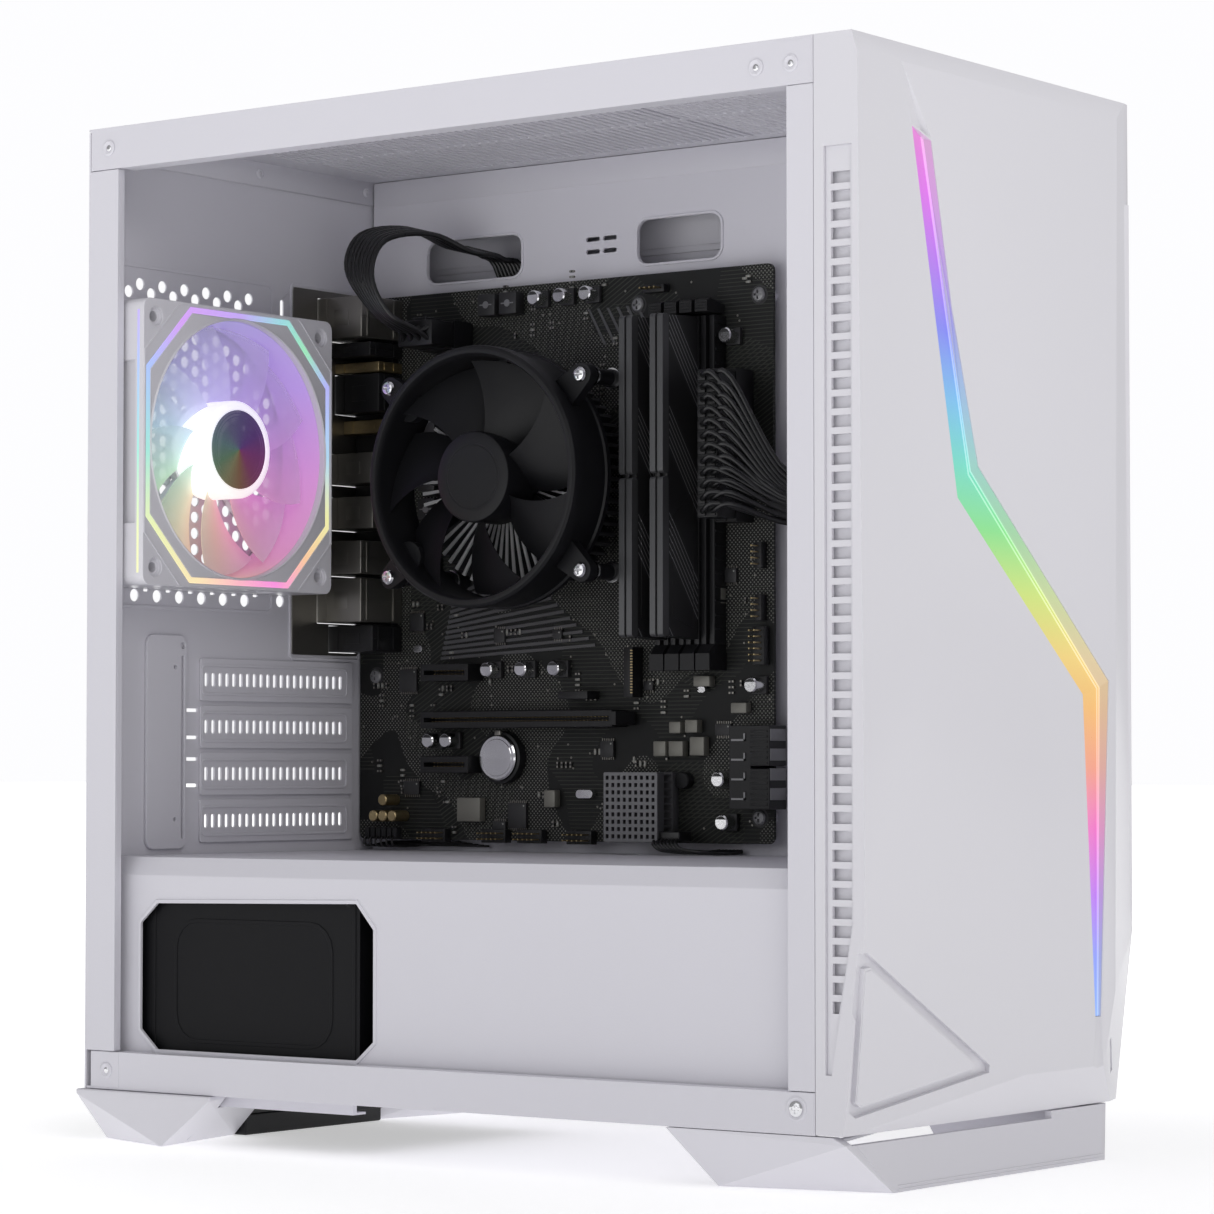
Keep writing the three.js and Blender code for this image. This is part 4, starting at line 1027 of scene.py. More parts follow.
@dataclass
class FrontPanel:
    """The faceted plastic front with its zigzag light, side vents and corner plates."""

    body: str = "front_panel"
    lean: float = 3.0
    valley: float = 2.5
    louvre_count: int = 45
    louvre_top: float = 349.6
    louvre_pitch: float = 6.84
    louvre_tall: float = 4.4

    def face(self, z: float) -> float:
        """How deep the leaning front face lies at a height."""
        return -self.lean * (393 - z) / 377

    def stations(self) -> list[tuple[Point, Point, Point, float]]:
        """The light's path: left edge, valley, right edge and valley depth at each of its corners."""
        deep = self.valley
        return [
            ((-65.7, 370.0), (-55.0, 366.6), (-52.7, 366.1), deep),
            ((-51.7, 304.2), (-39.0, 304.8), (-39.5, 305.4), deep),
            ((-36.2, 233.9), (-23.6, 244.6), (-21.4, 246.2), deep),
            ((55.5, 161.7), (72.0, 164.6), (75.7, 167.2), deep),
            ((62.5, 35.8), (65.2, 35.8), (66.2, 35.8), 1.0),
        ]

    def build(self) -> None:
        """Makes every piece of the panel."""
        self.shell()
        self.light()
        self.corner_plates()
        self.vents()

    def wedge(self, start: tuple, end: tuple) -> Shape:
        """A V-shaped cutter between two stations of a groove."""
        points = []
        for left, middle, right, deep in (start, end):
            for (x, z), depth in ((left, 0.0), (right, 0.0), (middle, deep), (left, -4.0), (right, -4.0)):
                points.append((x, self.face(z) + depth, z))
        return Shape().hull(*points)

    def shell(self) -> None:
        """The outer shell, grooved above and below the light."""
        shell = Shape.of_node("front_panel_shell")
        tip = ((-73.2, 393.6), (-73.0, 393.4), (-72.8, 393.6), 0.02)
        top = self.stations()[0][:3]
        shell = shell.carved(self.wedge(tip, (*[(x, z + 1.2) for x, z in top], 2.1)))
        low = ((62.4, 35.6), (64.2, 35.6), (66.6, 35.6), 0.9)
        foot = ((60.4, 15.0), (64.2, 15.0), (67.9, 15.0), 0.5)
        shell = shell.carved(self.wedge(low, foot))
        for cutter in (self.plate_groove(), self.right_groove()):
            shell = shell.carved(cutter)
        shell.piece("front_shell", PALETTE.plastic, self.body, ["front_panel_shell"], bevel=0.9, segments=3)

    def facet_frame(self) -> Matrix:
        """The lower left facet's own frame: x along its bottom edge, y up it and z out of it."""
        low, high, far = Vector((-102.5, 7.0, 0.5)), Vector((-102.5, -2.6, 76.7)), Vector((9.2, -3.0, 16.3))
        along = (far - low).normalized()
        out = along.cross((high - low)).normalized()
        if out.y > 0:
            out.negate()
        return Matrix.Translation(low) @ Matrix((along, out.cross(along), out)).transposed().to_4x4()

    def plate_outline(self, margin: float) -> list[Point]:
        """The triangular corner plate in its facet's frame, with cut corners and a margin round it."""
        corners = offset([(6.5, 8.5), (11.5, 62.0), (83.0, 9.0)], margin)
        outline = []
        for index, corner in enumerate(corners):
            here = Vector(corner)
            for other in (corners[index - 1], corners[(index + 1) % 3]):
                outline.append(tuple(here.lerp(Vector(other), 0.045)))
        return outline

    def plate_groove(self) -> Shape:
        """The cutter of the groove round the corner plate."""
        cutter = Shape().sheet(Axis.Z, self.plate_outline(3.3), (-2.0, 3.0), [self.plate_outline(0.0)])
        return cutter.moved(self.facet_frame())

    def right_groove(self) -> Shape:
        """The cutter of the short notch on the lower right facet."""
        line = [(77.5, -1.4, 26.0), (86.5, 3.4, 12.5)]
        points = [(x + dx, y + dy, z + dz) for x, y, z in line for dx, dz in ((-1.3, -0.9), (1.3, 0.9))
                  for dy in (-4.0, 1.6)]
        return Shape().hull(*points)

    def corner_plates(self) -> None:
        """The raised triangular plate, standing a little proud of its groove."""
        plate = Shape().sheet(Axis.Z, self.plate_outline(-0.6), (-0.5, 0.35)).moved(self.facet_frame())
        plate.piece("corner_plate_left", PALETTE.plastic, self.body, bevel=0.3, segments=3)

    def strip(self, first: int, second: int, back: float, behind: float = 0.0) -> Shape:
        """A band of the light between two of its three lines, 0 left, 1 valley and 2 right."""
        shape = Shape()
        rows = []
        for station in self.stations():
            deep = (0.25 + behind, station[3] + behind, 0.25 + behind)
            rows.append([(station[line], deep[line]) for line in (first, second)])
        for start, end in zip(rows, rows[1:]):
            corners = [(x, self.face(z) + depth, z) for (x, z), depth in (*start, *end)]
            shape.hull(*corners, *[(x, y + back, z) for x, y, z in corners])
        return shape

    def light(self) -> None:
        """The lit trough: a broad wall, two fine bright lines and a pale narrow wall."""
        self.strip(0, 1, 0.7).piece("light_broad_wall", PALETTE.zigzag, self.body, ["front_light_bar"])
        self.strip(1, 2, 0.7).piece("light_far_wall", PALETTE.zigzag_lens, self.body)
        self.strip(0, 1, 0.8, 0.75).piece("light_housing_broad", PALETTE.plastic, self.body)
        self.strip(1, 2, 0.8, 0.75).piece("light_housing_far", PALETTE.plastic, self.body)
        for name, share in (("light_line_outer", 0.86), ("light_line_inner", 1.0)):
            points = []
            for (left, middle, _, deep) in self.stations():
                x, z = (a + (b - a) * share for a, b in zip(left, middle))
                points.append((x, self.face(z) + 0.25 + (deep - 0.25) * share - 0.18, z))
            line = Shape()
            for start, end in zip(points, points[1:]):
                line.rod([start, end], 0.32, 6)
            line.piece(name, PALETTE.zigzag_core, self.body)

    def vents(self) -> None:
        """The louvred strips, each slat with a sloping rear end."""
        for side, node in ((-1, "front_vent_left"), (1, "front_vent_right")):
            strip = Shape.of_node(node)
            outer = side * (CASE.half_width - 1.2)
            for step in range(self.louvre_count):
                high = self.louvre_top - self.louvre_pitch * step
                if high < 60:
                    continue
                slat = [(12.2, high - self.louvre_pitch + 0.1), (12.2, high - self.louvre_tall - 0.1)]
                inner = outer - side * 4.0
                points = [(outer - side * 1.2, y, z) for y, z in slat]
                points += [(inner, 4.2, z) for _, z in slat] + [(outer - side * 1.2, 4.2, z) for _, z in slat]
                strip.hull(*points)
            strip.piece(node.replace("front_vent", "louvres"), PALETTE.plastic, self.body, [node], bevel=0.25)
            near, far = sorted((side * 97.4, side * 98.4))
            outline = [(2.2, 359.6), (2.2, 76.0), (11.6, 21.4), (15.2, 21.4), (15.2, 359.6)]
            liner = Shape().sheet(Axis.X, outline, (near, far))
            rim_near, rim_far = sorted((side * 98.4, side * 101.1))
            liner.sheet(Axis.X, outline, (rim_near, rim_far), [offset(outline, -1.0)])
            liner.piece(node.replace("front_vent", "vent_liner"), PALETTE.plastic, self.body)


# ------------------------------------------------------------------------------ feet


@dataclass
class Feet:
    """The angled plastic feet and the bar between the rear ones."""

    floor: float = -22.0

    def build(self) -> None:
        """Dresses the feet and adds their bands, ribs and pads."""
        for node in ("front_foot", "rear_foot_left", "rear_foot_right"):
            dress(node, PALETTE.foot, 0.7)
        dress("rear_foot_bar", PALETTE.black, 0.8)
        self.front_lip()
        for side in (-1, 1):
            self.ribs(side)
            self.pads(side)

    def front_lip(self) -> None:
        """The fine double line along the front bar's lower edge."""
        for step, z in enumerate((-19.6, -20.9)):
            y = 6.5 - 2.5 * (-z / 22) - 0.05
            line = Shape().rod([(-70.5, y, z), (79.0, y, z)], 0.22, 6)
            line.piece(f"front_foot_line_{step + 1}", PALETTE.foot)

    def ribs(self, side: int) -> None:
        """Two thin upright ribs on a rear foot's front face."""
        low, high = (-45.0, 352.0, -22.0), (-45.0, 330.0, -0.3)
        outer_low, outer_high = (-103.0, 340.0, -22.0), (-104.5, 312.0, -0.3)
        ribs = Shape()
        for share in (0.3, 0.75):
            top = Vector(outer_high).lerp(Vector(high), share)
            bottom = Vector(outer_low).lerp(Vector(low), share)
            points = [Vector((-side * p.x, p.y - 0.15, p.z)) for p in (top.lerp(bottom, 0.08),
                                                                       top.lerp(bottom, 0.92))]
            ribs.rod(points, 0.4, 6)
        ribs.piece("rear_foot_ribs_" + ("left" if side < 0 else "right"), PALETTE.foot)

    def pads(self, side: int) -> None:
        """The black rubber rims under the feet."""
        name = "left" if side < 0 else "right"
        outline = [(side * 48, 354), (side * 88, 382), (side * 99, 343)]
        Shape().sheet(Axis.Z, outline, (self.floor, self.floor + 0.5)).piece(
            f"rear_foot_pad_{name}", PALETTE.rubber, bevel=0.2)
        outline = [(side * 72, 6), (side * 88, 66), (side * 74, 66), (side * 62, 6)]
        if side > 0:
            outline = [(67.5, 6), (79.5, 6), (79.5, 66), (67.5, 66)]
        Shape().sheet(Axis.Z, outline, (self.floor, self.floor + 0.4)).piece(
            f"front_foot_pad_{name}", PALETTE.rubber, bevel=0.15)


# ------------------------------------------------------------------------------ shared forms


def octagon(centre: Point, half: float, chamfer: float = 0.46) -> list[Point]:
    """A square with its corners cut, by its half width."""
    u, v = centre
    cut = half * (1 - chamfer)
    steps = ((-cut, -half), (cut, -half), (half, -cut), (half, cut), (cut, half), (-cut, half), (-half, cut),
             (-half, -cut))
    return [(u + du, v + dv) for du, dv in steps]


def curve(points: Sequence[Point], steps: int = 6) -> list[Vector]:
    """A smooth line through some points."""
    knots = [Vector(point) for point in (points[0], *points, points[-1])]
    line = []
    for a, b, c, d in zip(knots, knots[1:], knots[2:], knots[3:]):
        for step in range(steps):
            t = step / steps
            line.append(0.5 * (2 * b + (c - a) * t + (2 * a - 5 * b + 4 * c - d) * t * t
                               + (3 * b - a - 3 * c + d) * t ** 3))
    return [*line, knots[-1]]


@dataclass(frozen=True)
class Blades:
    """A rotor's swept and cambered blades."""

    count: int
    root: float
    tip: float
    near: float
    far: float
    width: float
    sweep: float
    thick: float = 1.2
    along: int = 7
    across: int = 8

    def shape(self, axis: Axis, centre: Point) -> Shape:
        """Every blade round a centre."""
        made = Shape()
        for blade in range(self.count):
            self._blade(made.bm, axis, centre, 360 * blade / self.count)
        return made

    def _blade(self, bm: bmesh.types.BMesh, axis: Axis, centre: Point, start: float) -> None:
        """Adds one blade that begins at an angle."""
        u, v = centre
        skins = []
        for side in (-0.5, 0.5):
            rows = []
            for i in range(self.along + 1):
                out = i / self.along
                radius = self.root + (self.tip - self.root) * out
                row = []
                for j in range(self.across + 1):
                    chord = j / self.across
                    turn = math.radians(start + self.sweep * out ** 1.4 + self.width * chord)
                    fat = self.thick * (0.25 + 0.75 * math.sin(math.pi * chord))
                    place = self.near + (self.far - self.near) * chord ** 0.85 + side * fat
                    row.append(bm.verts.new(axis.place(u + radius * math.cos(turn),
                                                       v + radius * math.sin(turn),
                                                       place)))
                rows.append(row)
            skins.append(rows)
        for rows in skins:
            for low, high in zip(rows, rows[1:]):
                for a, b, c, d in zip(low, low[1:], high[1:], high):
                    bm.faces.new((a, b, c, d))
        rims = [[rows[0], rows[-1], [row[0] for row in rows], [row[-1] for row in rows]] for rows in skins]
        for first, second in zip(*rims):
            for a, b, c, d in zip(first, first[1:], second[1:], second):
                bm.faces.new((a, b, c, d))


# ------------------------------------------------------------------------------ rear fan


@dataclass
class RearFan:
    """The lit case fan in its square white frame."""

    centre: Point = (-37.4, 269.0)
    half: float = 60.0
    front: float = 357.0
    back: float = 382.4
    bore: float = 55.2
    screw: float = 52.5
    hub: float = 21.0
    body: str = "rear_fan"

    def build(self) -> None:
        """Makes the frame, the light ring and the rotor."""
        self.frame()
        self.ring()
        self.rotor()

    def corners(self) -> list[Point]:
        """The four screw holes."""
        x, z = self.centre
        return [(x + i * self.screw, z + k * self.screw) for i in (-1, 1) for k in (-1, 1)]

    def frame(self) -> None:
        """The frame with its bore lip, counterbored corners and rear spider."""
        x, z = self.centre
        outline = soft_box(around(x, self.half), around(z, self.half), 4.0)
        holes = [circle(x, z, self.bore, 72)] + [circle(u, v, 2.2, 16) for u, v in self.corners()]
        body = Shape().sheet(Axis.Y, outline, (self.front, self.back), holes)
        groove = Shape().sheet(Axis.Y, octagon(self.centre, 58.3), (self.front - 1, self.front + 2.4),
                               [octagon(self.centre, 55.9)])
        for u, v in self.corners():
            groove.disc(Axis.Y, (u, v), 3.9, (self.front - 1, self.front + 1.6), 24)
        waist = Shape()
        for sign in (-1, 1):
            for across in (0, 1):
                near, far = sorted((sign * 58.6, sign * 64))
                spans = [(-34, 34), (near, far)]
                u_span, v_span = spans if across else spans[::-1]
                waist.box((x + u_span[0], x + u_span[1]), (self.front + 5, self.back - 5),
                          (z + v_span[0], z + v_span[1]))
        body = body.carved(groove).carved(waist)
        body.piece("fan_frame", PALETTE.plastic, replaces=["rear_fan_frame"], bevel=0.5, segments=3)
        lip = [(self.bore - 0.1, self.front + 1.5), (self.bore - 0.1, self.front),
               (self.bore + 0.5, self.front - 0.5),
               (self.bore + 1.0, self.front), (self.bore + 1.0, self.front + 0.4)]
        Shape().lathe(Axis.Y, self.centre, lip, 72).piece("fan_bore_lip", PALETTE.plastic)
        liner = [(self.bore - 0.35, 360), (self.bore - 0.1, 359.8), (self.bore - 0.1, 381),
                 (self.bore - 0.35, 381)]
        Shape().lathe(Axis.Y, self.centre, liner, 72).piece("fan_bore", PALETTE.fan_bore)
        spider = Shape().disc(Axis.Y, self.centre, 20, (self.back - 4, self.back), 40)
        for degrees in (45, 135, 225, 315):
            turn = math.radians(degrees)
            along, side = Vector((math.cos(turn), math.sin(turn))), Vector((-math.sin(turn), math.cos(turn)))
            middle = Vector(self.centre)
            outline = [tuple(middle + along * r + side * s) for r,
                       s in ((17, -2), (56, -2), (56, 2), (17, 2))]
            spider.sheet(Axis.Y, outline, (self.back - 3, self.back))
        spider.piece("fan_spider", PALETTE.plastic, bevel=0.4)

    def ring(self) -> None:
        """The eight-sided light strip and its thin side line."""
        band = Shape().sheet(Axis.Y, octagon(self.centre, 58.2), (self.front - 0.1, self.front + 2.2),
                             [octagon(self.centre, 56.0)])
        band.piece("fan_light_ring", PALETTE.fan_ring, replaces=["rear_fan_light_ring"], bevel=0.3)
        x, z = self.centre
        line = Shape().box((x - self.half - 0.12, x - self.half + 0.4), (self.front + 2.4, self.front + 3.6),
                           around(z, 55), 0.1)
        line.piece("fan_side_light", PALETTE.fan_ring)
        edge = octagon(self.centre, 59.6, 0.36)
        seam = Shape().sheet(Axis.Y, edge, (self.front - 0.35, self.front + 0.1), [offset(edge, -0.7)])
        seam.piece("fan_corner_seams", PALETTE.plastic)

    def rotor(self) -> None:
        """Nine frosted blades round a bright hub with a mirrored cap."""
        blades = Blades(9, self.hub - 1.5, 53.4, 366.2, 376.2, 45, 18, 1.2).shape(Axis.Y, self.centre)
        blades.piece("fan_blades", PALETTE.fan_blade, self.body, ["rear_fan_rotor"], smooth=50)
        cup = [(0, 376), (self.hub, 376), (self.hub, 359.4), (self.hub - 0.7, 358.2), (self.hub - 1.8, 357.6),
               (17.4, 357.6), (17.0, 358.1), (0, 358.1)]
        Shape().lathe(Axis.Y, self.centre, cup, 64).piece("fan_hub", PALETTE.fan_hub, self.body)
        cap = [(0, 358.1), (16.9, 358.1), (16.9, 357.7), (16.5, 357.45), (0, 357.4)]
        Shape().lathe(Axis.Y, self.centre, cap, 64).piece("fan_hub_cap", PALETTE.fan_mirror, self.body)
        rings = Shape()
        for radius in (15.6, 14.2):
            profile = [(radius - 0.2, 357.5), (radius - 0.2, 357.35), (radius + 0.2, 357.35),
                       (radius + 0.2, 357.5)]
            rings.lathe(Axis.Y, self.centre, profile, 64)
        rings.piece("fan_hub_rings", PALETTE.fan_mirror, self.body)


# ------------------------------------------------------------------------------ processor cooler


@dataclass
class Cooler:
    """The round processor cooler."""

    centre: Point = (269.7, 256.5)
    front: float = 10.0
    back: float = 36.0
    outer: float = 56.0
    bore: float = 51.4
    hub: float = 19.5
    fins: int = 60
    body: str = "cooler_fan"

    def ears(self) -> list[Point]:
        """The four fixing posts."""
        y, z = self.centre
        return [(y + i * 52, z + k * 41) for i in (-1, 1) for k in (-1, 1)]

    def build(self) -> None:
        """Makes the ring, rotor, heatsink and fixings."""
        self.ring()
        self.rotor()
        self.heatsink()
        self.fixings()

    def ring(self) -> None:
        """The fan's shroud with a thick rounded lip, its mount and its ears."""
        inner, outer, front, back = self.bore, self.outer, self.front, self.back
        profile = [(inner, back), (inner, front + 4), (inner + 0.3, front + 1.6), (inner + 1.2, front + 0.3),
                   (inner + 2.3, front), (outer - 1.3, front + 0.2), (outer - 0.3, front + 1.2),
                   (outer, front + 2.6), (outer, front + 7), (outer - 1.1, front + 7.6), (outer - 1.1,
                                                                                          back - 3),
                   (outer - 0.2, back - 2.4), (outer - 0.2, back)]
        Shape().lathe(Axis.X, self.centre, profile, 96).piece(
            "cooler_ring", PALETTE.black_soft, replaces=["cooler_fan_frame"])
        mount = Shape().disc(Axis.X, self.centre, 18, (back - 4, back), 40)
        for degrees in (90, 210, 330):
            turn = math.radians(degrees)
            along, side = Vector((math.cos(turn), math.sin(turn))), Vector((-math.sin(turn), math.cos(turn)))
            middle = Vector(self.centre)
            outline = [tuple(middle + along * r + side * s) for r,
                       s in ((15, -2.5), (53, -2.5), (53, 2.5), (15, 2.5))]
            mount.sheet(Axis.X, outline, (back - 3, back))
        mount.piece("cooler_mount", PALETTE.black_soft, bevel=0.4)
        y, z = self.centre
        lobes = Shape()
        for v, w in self.ears():
            inward = (v + (y - v) * 0.2, w + (z - w) * 0.2)
            points = []
            for (p, q), radius in (((v, w), 5), (inward, 7)):
                points += [(depth, a, b) for depth in (20, 25) for a, b in circle(p, q, radius, 20)]
            lobes.hull(*points)
        lobes.piece("cooler_ears", PALETTE.black_soft, bevel=0.6)

    def rotor(self) -> None:
        """Seven swept blades and the hub with its chamfer and ring mark."""
        blades = Blades(7, self.hub - 1, 49.8, 15, 29, 42, -16, 1.5).shape(Axis.X, self.centre)
        blades.piece("cooler_blades", PALETTE.black_soft, self.body, ["cooler_fan_rotor"], smooth=50)
        hub, near = self.hub, self.front + 2
        profile = [(0, 31.4), (hub, 31.4), (hub, near + 1.4), (hub - 0.4, near + 0.5), (hub - 1.6, near),
                   (14.2, near), (14.0, near + 0.15), (13.4, near + 0.15), (13.2, near), (0, near)]
        Shape().lathe(Axis.X, self.centre, profile, 64).piece("cooler_hub", PALETTE.black_soft, self.body)

    def heatsink(self) -> None:
        """Thin fins that spread from a round core like spokes."""
        y, z = self.centre
        outline = []
        for step in range(self.fins):
            for share, radius in ((0.0, 47), (0.3, 47), (0.36, 17), (0.94, 17)):
                turn = 2 * math.pi * (step + share) / self.fins
                outline.append((y + radius * math.cos(turn), z + radius * math.sin(turn)))
        fins = Shape().sheet(Axis.X, outline, (self.back + 0.3, 60))
        fins.disc(Axis.X, self.centre, 19, (59, 70.7), 48)
        fins.piece("cooler_fins", PALETTE.fins, replaces=["cooler_heatsink"])
        collar = Shape().disc(Axis.X, self.centre, 24, (62, 65), 48)
        collar.piece("cooler_collar", PALETTE.black, bevel=0.3)

    def fixings(self) -> None:
        """Chrome pillars with sprung screws through the ears."""
        pillars, heads, collars = Shape(), Shape(), Shape()
        for v, w in self.ears():
            profile = [(0, 70.7), (4.4, 70.7), (4.4, 61), (3.9, 60.4), (3.9, 40), (3.3, 39.4), (3.3, 25.2),
                       (0, 25.2)]
            pillars.lathe(Axis.X, (v, w), profile, 24)
            for place in (26.5, 41.5, 62.0):
                collars.lathe(Axis.X, (v, w),
                              [(3.2, place), (4.6, place), (4.6, place + 1.2), (3.2, place + 1.2)], 24)
            heads.added(screw_head(Axis.X, (v, w), 3.2, 19.9, -2.2))
        pillars.piece("cooler_pillars", PALETTE.black_soft)
        collars.piece("cooler_collars", PALETTE.chrome)
        heads.piece("cooler_screws", PALETTE.chrome)


# ------------------------------------------------------------------------------ motherboard


@dataclass
class Memory:
    """The memory sockets, their latches and two modules."""

    first: float = 206.5
    pitch: float = 8.0
    low: float = 180.0
    high: float = 324.0
    fitted: tuple[int, ...] = (0, 2)

    def build(self) -> None:
        """Makes every socket and module."""
        for index in range(4):
            self.socket(index)
            self.latch(index)
        for number, index in enumerate(self.fitted):
            self.module(number + 1, index)

    def depth(self, index: int) -> float:
        """How deep a socket's middle lies."""
        return self.first - self.pitch * index

    def socket(self, index: int) -> None:
        """A ribbed socket with a key and end blocks."""
        y = self.depth(index)
        groove = around(y, 0.9)
        body = Shape()
        body.box((62, 70.7), (y - 3.4, groove[0]), (self.low, self.high), 0.25)
        body.box((62, 70.7), (groove[1], y + 3.4), (self.low, self.high), 0.25)
        body.box((66, 70.7), around(y, 1.2), (self.low, self.high))
        body.box((62.4, 70.7), around(y, 1.2), (248, 251), 0.2)
        for step in range(24):
            z = self.low + 5 + 5.9 * step
            for side in (-1, 1):
                near, far = sorted((y + side * 3.3, y + side * 3.62))
                body.box((62.8, 70.7), (near, far), (z, z + 1.1), 0.1)
        end = [(58, y - 3.6), (70.7, y - 3.6), (70.7, y + 3.6), (58, y + 3.6)]
        body.sheet(Axis.Z, end, (self.low - 6, self.low + 1))
        body.hull((58, y - 3.0, self.low + 1), (58, y + 3.0, self.low + 1), (62, y - 3.4, self.low + 5),
                  (62, y + 3.4, self.low + 5), (66, y - 3.4, self.low + 1), (66, y + 3.4, self.low + 1))
        body.piece(f"memory_socket_{index + 1}", PALETTE.black, replaces=[f"memory_slot_{index + 1}"])

    def latch(self, index: int) -> None:
        """The pivoting latch with a ribbed thumb rest."""
        y = self.depth(index)
        name = f"memory_latch_{index + 1}"
        lever = Shape.of_node(name)
        for step in range(4):
            z = self.high + 2.2 + step * 1.2
            lever.box((56.7, 57.4), around(y, 2.8), (z, z + 0.5))
        lever.piece(f"latch_lever_{index + 1}", PALETTE.black, f"latch_{index + 1}", [name], bevel=0.25)

    def module(self, number: int, index: int) -> None:
        """A module in a dark spreader with a grey split spine."""
        y = self.depth(index)
        low, high = self.low + 7, self.high - 0.4
        core = Shape()
        for side in (-1, 1):
            near, far = sorted((y + side * 0.7, y + side * 3.2))
            outline = [(39.6, low + 1), (61.6, low), (61.6, high), (39.6, high - 1)]
            core.hull(*[(x, d, z) for x, z in outline for d in (near, far)])
            shoulder = sorted((y + side * 3.15, y + side * 3.4))
            core.hull(*[(x, d, z) for x, z in ((43, low + 9), (58, low + 5), (58, 250), (43, 238))
                        for d in shoulder])
        core.box((37.5, 66), around(y, 0.7), (low + 0.4, high - 0.4))
        core.piece(f"memory_{number}_spreader", PALETTE.memory, replaces=[f"memory_module_{number}"],
                   bevel=0.3)
        spine = Shape()
        middle = (low + high) / 2
        for span in ((low + 0.6, middle - 0.7), (middle + 0.7, high - 0.6)):
            outline = soft_box((36.0, 40.4), span, 1.6)
            for side in (-1, 1):
                near, far = sorted((y + side * 0.5, y + side * 3.4))
                spine.sheet(Axis.Y, outline, (near, far))
        spine.piece(f"memory_{number}_spine", PALETTE.memory_spine, bevel=0.45, segments=3)
        contacts = Shape()
        for step in range(42):
            z = low + 4 + 3.1 * step
            contacts.box((66, 67.5), around(y, 0.72), (z, z + 1.6))
        contacts.piece(f"memory_{number}_contacts", PALETTE.gold)


